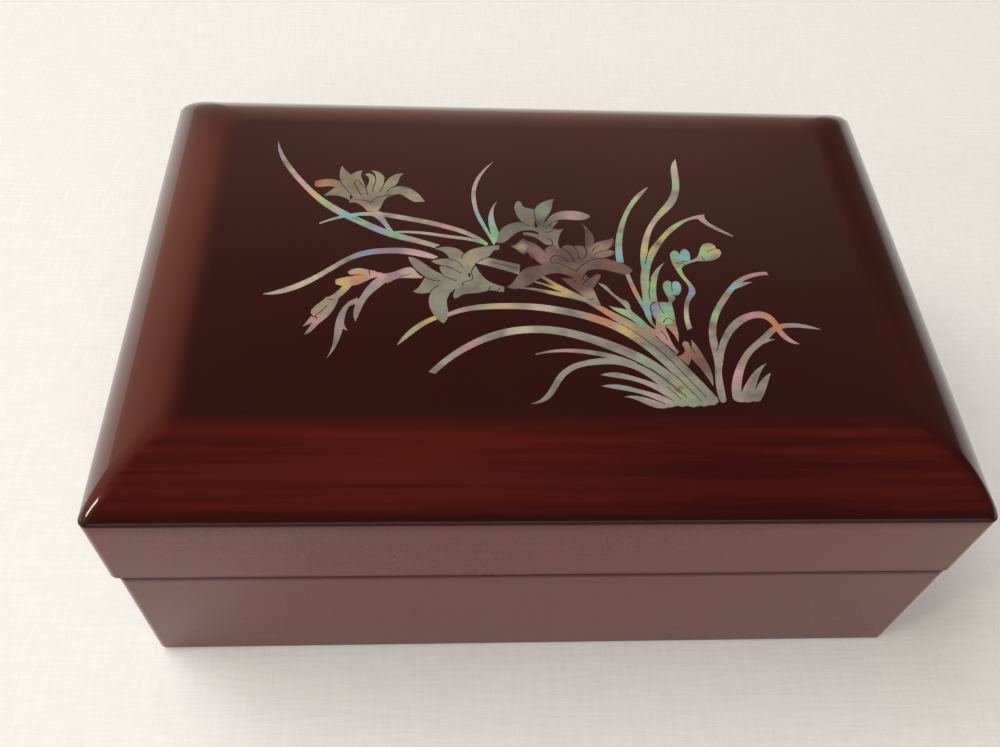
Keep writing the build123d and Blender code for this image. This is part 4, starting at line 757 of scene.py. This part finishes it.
def velvet(name, colour, shade):
    """Short dense pile: strong sheen, a soft mottle where the pile leans, and a fine nap."""
    finish = Finish(name)
    place = finish.place()
    lean = finish.noise(finish.stretched(place, (70, 110, 90)), 1.0, 3, 0.6)
    nap = finish.noise(place, 3800, 2, 0.7)
    tone = finish.mix(finish.step(lean, 0.3, 0.72), shade, colour)
    tone = finish.mix(0.35 * nap, tone, tint(16, 2, 4))
    return finish.set(Base_Color=tone, Roughness=0.86, Normal=finish.bump(nap, 0.00022, 0.8),
                      Sheen_Weight=0.85, Sheen_Roughness=0.32, Sheen_Tint=(0.95, 0.35, 0.40, 1),
                      Specular_IOR_Level=0.15)


velvet_finish = velvet("velvet", tint(108, 16, 28), tint(82, 10, 19))
BOARDS = {
    "base": ["base_liner_front", "base_liner_back", "base_liner_left", "base_liner_right",
             "tray_ledge_front", "tray_ledge_back"],
    "tray": ["tray_floor", "tray_front_wall", "tray_back_wall", "tray_left_wall", "tray_right_wall",
             "tray_divider_cross", "tray_divider_long", "tray_divider_short"],
    "lid": ["lid_liner_front", "lid_liner_back", "lid_liner_left", "lid_liner_right"],
}
for body, names in BOARDS.items():
    for name in names:
        board = rounded_board("velvet_" + name, millimetres(name), WRAP)
        dress(board, velvet_finish)
        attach(board, body)
        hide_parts(name)
print(sum(len(names) for names in BOARDS.values()), "velvet-covered boards")

# %% [markdown]
# ## Pads and ring rolls
#
# These are foam under velvet. Foam pushes the cloth out until the cloth is tight, so each
# is made as a cloth that is blown up a little. The cloth solver is happiest with things
# the size of a cushion, so a pad is simulated ten times as large and brought back. How far
# a point may move is capped, which keeps each pad in the room that it has in the box.

# %% Pads by simulation
GROWN = 10.0                # how many times its real size a pad has while it is simulated
PAD_FRAMES = 14


def node_mesh(node):
    """A welded copy of a CAD node's mesh, ready to edit; the caller frees it."""
    work = bmesh.new()
    work.from_mesh(nodes[node].data)
    bmesh.ops.remove_doubles(work, verts=work.verts, dist=1e-6)
    return work


def parts_of(work):
    """The separate bodies of a mesh, as lists of vertices, found by walking its edges."""
    left, groups = set(work.verts), []
    while left:
        group, edge = set(), {left.pop()}
        while edge:
            vertex = edge.pop()
            group.add(vertex)
            edge |= {e.other_vert(vertex) for e in vertex.link_edges} - group
        left -= group
        groups.append(group)
    return sorted(groups, key=lambda g: min((round(v.co.x, 5), round(v.co.y, 5)) for v in g))


def stuffed(name, node, voxel, pressure, cap, shrink, part=0):
    """A stuffed pad in a CAD solid's place. The solid is remeshed, drawn in by shrink, blown
    up as cloth, and held within cap of where it began, all in millimetres."""
    work = node_mesh(node)
    groups = parts_of(work)
    bmesh.ops.delete(work, geom=[v for g in groups if g is not groups[part] for v in g], context="VERTS")
    mesh = bpy.data.meshes.new(name)
    work.to_mesh(mesh)
    work.free()
    piece = bpy.data.objects.new(name, mesh)
    bpy.context.scene.collection.objects.link(piece)
    points = read_points(mesh)
    centre = (points.min(0) + points.max(0)) / 2
    mesh.transform(Matrix.Scale(GROWN, 4) @ Matrix.Translation(-Vector(centre)))
    remesh = piece.modifiers.new("voxels", "REMESH")
    remesh.mode, remesh.voxel_size = "VOXEL", voxel * MM * GROWN
    settle(piece)
    mesh = piece.data
    start = read_points(mesh)
    start -= read_normals(mesh) * shrink * MM * GROWN
    write_points(mesh, start)
    blow_up(piece, pressure)
    moved = read_points(piece.data) - start
    far = np.linalg.norm(moved, axis=1, keepdims=True)
    moved *= np.minimum(1, cap * MM * GROWN / np.maximum(far, 1e-9))
    write_points(piece.data, start + moved)
    smooth = piece.modifiers.new("smooth", "SMOOTH")
    smooth.factor, smooth.iterations = 0.5, 2
    settle(piece)
    piece.data.transform(Matrix.Translation(Vector(centre)) @ Matrix.Scale(1 / GROWN, 4))
    piece.data.shade_smooth()
    return piece


def read_points(mesh):
    points = np.empty(len(mesh.vertices) * 3, np.float32)
    mesh.vertices.foreach_get("co", points)
    return points.reshape(-1, 3).astype(float)


def read_normals(mesh):
    normals = np.empty(len(mesh.vertices) * 3, np.float32)
    mesh.vertex_normals.foreach_get("vector", normals)
    return normals.reshape(-1, 3).astype(float)


def write_points(mesh, points):
    mesh.vertices.foreach_set("co", points.astype(np.float32).ravel())
    mesh.update()


def blow_up(piece, pressure):
    """Runs Blender's cloth with pressure inside and no gravity, then keeps the result."""
    cloth = piece.modifiers.new("cloth", "CLOTH")
    settings = cloth.settings
    settings.use_pressure, settings.uniform_pressure_force = True, pressure
    settings.effector_weights.gravity = 0
    settings.quality = 4
    cloth.point_cache.frame_start, cloth.point_cache.frame_end = 1, PAD_FRAMES
    for step in range(1, PAD_FRAMES + 1):
        bpy.context.scene.frame_set(step)
    settle(piece)
    bpy.context.scene.frame_set(1)


PADS = [
    # name, node, body, voxel size, pressure, cap, shrink, part, fill
    ("velvet_floor_pad", "base_floor_pad", "base", 1.3, 3.0, 0.25, 0.25, 0, 0.4),
    ("velvet_tray_pad_back", "tray_pads", "tray", 0.85, 3.0, 0.3, 0.3, 1, 0.5),
    ("velvet_tray_pad_front", "tray_pads", "tray", 0.85, 3.0, 0.3, 0.3, 0, 0.5),
    ("velvet_tray_pad_corner", "tray_pads", "tray", 0.85, 3.0, 0.3, 0.3, 2, 0.5),
    ("velvet_mirror_surround", "mirror_surround", "lid", 0.95, 3.0, 0.3, 0.2, 0, 0.4),
]
for roll in sorted(name for name in nodes if name.startswith("ring_roll_")):
    PADS.append(("velvet_" + roll, roll, "tray", 1.0, 4.0, 0.45, 0.35, 0, 0.8))
for name, node, body, voxel, pressure, cap, shrink, part, fill in PADS:
    pad = stuffed(name, node, voxel, pressure, cap, shrink, part)
    dress(pad, velvet_finish)
    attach(pad, body)
    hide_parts(node)
    print(name, len(pad.data.vertices), "points")

# %% [markdown]
# ## Ribbon tabs
#
# The tray is lifted by two loops of satin ribbon that stand up against its end walls. A
# ribbon is a thin strip, so its section is a narrow hairpin, and the section is carried
# across the ribbon's width. Its top bulges a little, because ribbon won't fold flat.

# %% Ribbon tabs
RIBBON = 0.18               # thickness of the ribbon
FOLD_HEIGHT = 2.2           # of the bulge at the top, for each unit of the loop's half width


def ribbon_tab(name, node):
    """A folded strip: up one side, round the fold as a half ellipse, down the other side, then
    back along the inside at the ribbon's thickness."""
    x0, x1, y0, y1, z0, z1 = millimetres(node)
    half, centre = (x1 - x0) / 2, (x0 + x1) / 2
    turn = np.linspace(0, pi, 13)
    fold = FOLD_HEIGHT * half
    foot = z0 - z1 + fold
    bulge = np.stack([half * np.cos(turn), fold * np.sin(turn)], -1)
    outside = np.concatenate([[[half, foot]], bulge, [[-half, foot]]])
    inside = outside[::-1] * [1 - RIBBON / half, 1]
    inside[1:-1, 1] -= RIBBON * np.sin(turn[::-1])
    section = np.concatenate([outside, inside])
    across = np.linspace(y0, y1, 9)
    points = np.empty((len(across), len(section), 3))
    points[..., 0] = centre + section[None, :, 0]
    points[..., 1] = across[:, None]
    points[..., 2] = z1 - fold + section[None, :, 1]
    count = len(section)
    faces = grid_faces(len(across), count, False, True).tolist()
    half_count = count // 2
    for row, flip in ((0, 1), (len(across) - 1, -1)):
        for k in range(half_count - 1):
            quad = [row * count + v for v in (k, k + 1, count - 2 - k, count - 1 - k)]
            faces.append(quad[::flip])
    return make_piece(name, points, faces, sharp=50)


def satin():
    """Woven satin: fine ribs across the ribbon and a long soft shine."""
    finish = Finish("satin")
    x, y, z = finish.parts(finish.place())
    ribs = (y * (2 * pi / 0.00045)).wave()
    tone = finish.mix(0.5 + 0.5 * ribs, tint(120, 12, 30), tint(150, 22, 44))
    return finish.set(Base_Color=tone, Roughness=0.34, Normal=finish.bump(ribs, 0.00004, 0.6),
                      Sheen_Weight=0.4, Sheen_Roughness=0.3, Anisotropic=0.5)


satin_finish = satin()
for side in ("left", "right"):
    tab = ribbon_tab(f"ribbon_tab_{side}", f"tray_pull_tab_{side}")
    dress(tab, satin_finish)
    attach(tab, "tray")
    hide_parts(f"tray_pull_tab_{side}")

# %% [markdown]
# ## Felt
#
# A sheet of black pressed felt is glued under the base, so that the box can't scratch a
# table. Its cut edge is slightly rounded and its fibres lie every way.

# %% Felt sheet
felt_box = millimetres("base_felt")
FELT_EDGE = 0.2             # radius of the cut edge
edge = FELT_EDGE * (1 - np.sin(quarter))
lift = FELT_EDGE * (1 - np.cos(quarter))
felt_heights = np.concatenate([felt_box[4] + lift, felt_box[5] - lift[::-1]])
points = rounded_loops(felt_box[:4], np.concatenate([edge, edge[::-1]]), felt_heights,
                       np.full(2 * len(edge), CORNER))
rows, columns = points.shape[:2]
faces = grid_faces(rows, columns, False, True).tolist()
faces.append(list(range(columns))[::-1])
faces.append(list(range((rows - 1) * columns, rows * columns)))
felt = make_piece("felt_sheet", points, faces)


def felt_fibres():
    finish = Finish("felt")
    place = finish.place()
    fibres = finish.noise(finish.stretched(place, (900, 2600, 900)), 1.0, 4, 0.7)
    fluff = finish.noise(place, 1500, 3, 0.7)
    tone = finish.mix(fibres, tint(20, 20, 22), tint(62, 60, 60))
    return finish.set(Base_Color=tone, Roughness=0.95, Normal=finish.bump(fluff, 0.0002, 0.7),
                      Sheen_Weight=0.3, Specular_IOR_Level=0.1)


dress(felt, felt_fibres())
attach(felt, "base")
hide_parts("base_felt")


# %% [markdown]
# ## Brass, glass and plain wood
#
# The hinges are drawn brass, polished and then handled, so fine lines run along them and
# tarnish lies in patches. The mirror is silvered glass. Two boards are plywood, one bare and
# one stained dark, and little of them shows. These shapes are right as they are in the CAD
# model.

# %% Finishes for the carried-over parts
def brass():
    finish = Finish("brass")
    place = finish.place()
    drawn = finish.noise(finish.stretched(place, (120, 4200, 4200)), 1.0, 3, 0.6)
    tarnish = finish.step(finish.noise(place, 420, 3, 0.6), 0.45, 0.75)
    tone = finish.mix(0.6 * tarnish, tint(222, 186, 112), tint(158, 118, 60))
    return finish.set(Base_Color=tone, Metallic=1.0, Roughness=0.18 + 0.16 * drawn + 0.12 * tarnish,
                      Normal=finish.bump(drawn, 0.00002, 0.5))


def mirror():
    finish = Finish("mirror")
    haze = finish.noise(finish.place(), 140, 2, 0.5)
    tone = finish.mix(haze, tint(236, 240, 240), tint(244, 246, 246))
    return finish.set(Base_Color=tone, Metallic=1.0, Roughness=0.015 + 0.02 * haze)


def plywood(name, dark, pale):
    finish = Finish(name)
    place = finish.place()
    grain = finish.noise(finish.stretched(place, (18, 420, 420)), 1.0, 4, 0.65)
    fine = finish.noise(finish.stretched(place, (120, 2600, 2600)), 1.0, 2, 0.6)
    tone = finish.mix(0.7 * grain + 0.3 * fine, dark, pale)
    return finish.set(Base_Color=tone, Roughness=0.5 + 0.2 * fine, Normal=finish.bump(fine, 0.00006, 0.6))


brass_finish = brass()
for name, node in nodes.items():
    if name.startswith("hinge_"):
        dress(node, brass_finish)
dress(nodes["mirror_glass"], mirror())
dress(nodes["mirror_backing"], plywood("stained wood", tint(44, 22, 18), tint(70, 36, 28)))
dress(nodes["base_floor_panel"], plywood("plain wood", tint(128, 88, 52), tint(206, 168, 118)))

# %% [markdown]
# ## The cloth that it stands on
#
# The floor is plain and pale, only a hint of woven cotton, so that it lights the front of
# the box as a table cloth does. It is scenery, not part of the box.

# %% Floor
FLOOR_HALF = 1800.0
floor_points = [[-FLOOR_HALF, -FLOOR_HALF, 0], [FLOOR_HALF, -FLOOR_HALF, 0], [FLOOR_HALF, FLOOR_HALF, 0],
                [-FLOOR_HALF, FLOOR_HALF, 0]]
floor = make_piece("floor", floor_points, [[0, 1, 2, 3]])


def cotton():
    finish = Finish("cotton")
    place = finish.place()
    warp = finish.noise(finish.stretched(place, (850, 90, 1)), 1.0, 2, 0.6)
    weft = finish.noise(finish.stretched(place, (90, 850, 1)), 1.0, 2, 0.6)
    crumple = finish.noise(place, 20, 3, 0.5)
    tone = finish.mix(0.5 * warp + 0.5 * weft, tint(220, 217, 211), tint(240, 237, 231))
    height = 0.35 * warp + 0.35 * weft + 2.4 * crumple
    return finish.set(Base_Color=tone, Roughness=0.9, Normal=finish.bump(height, 0.0004, 0.5),
                      Specular_IOR_Level=0.1)


dress(floor, cotton())
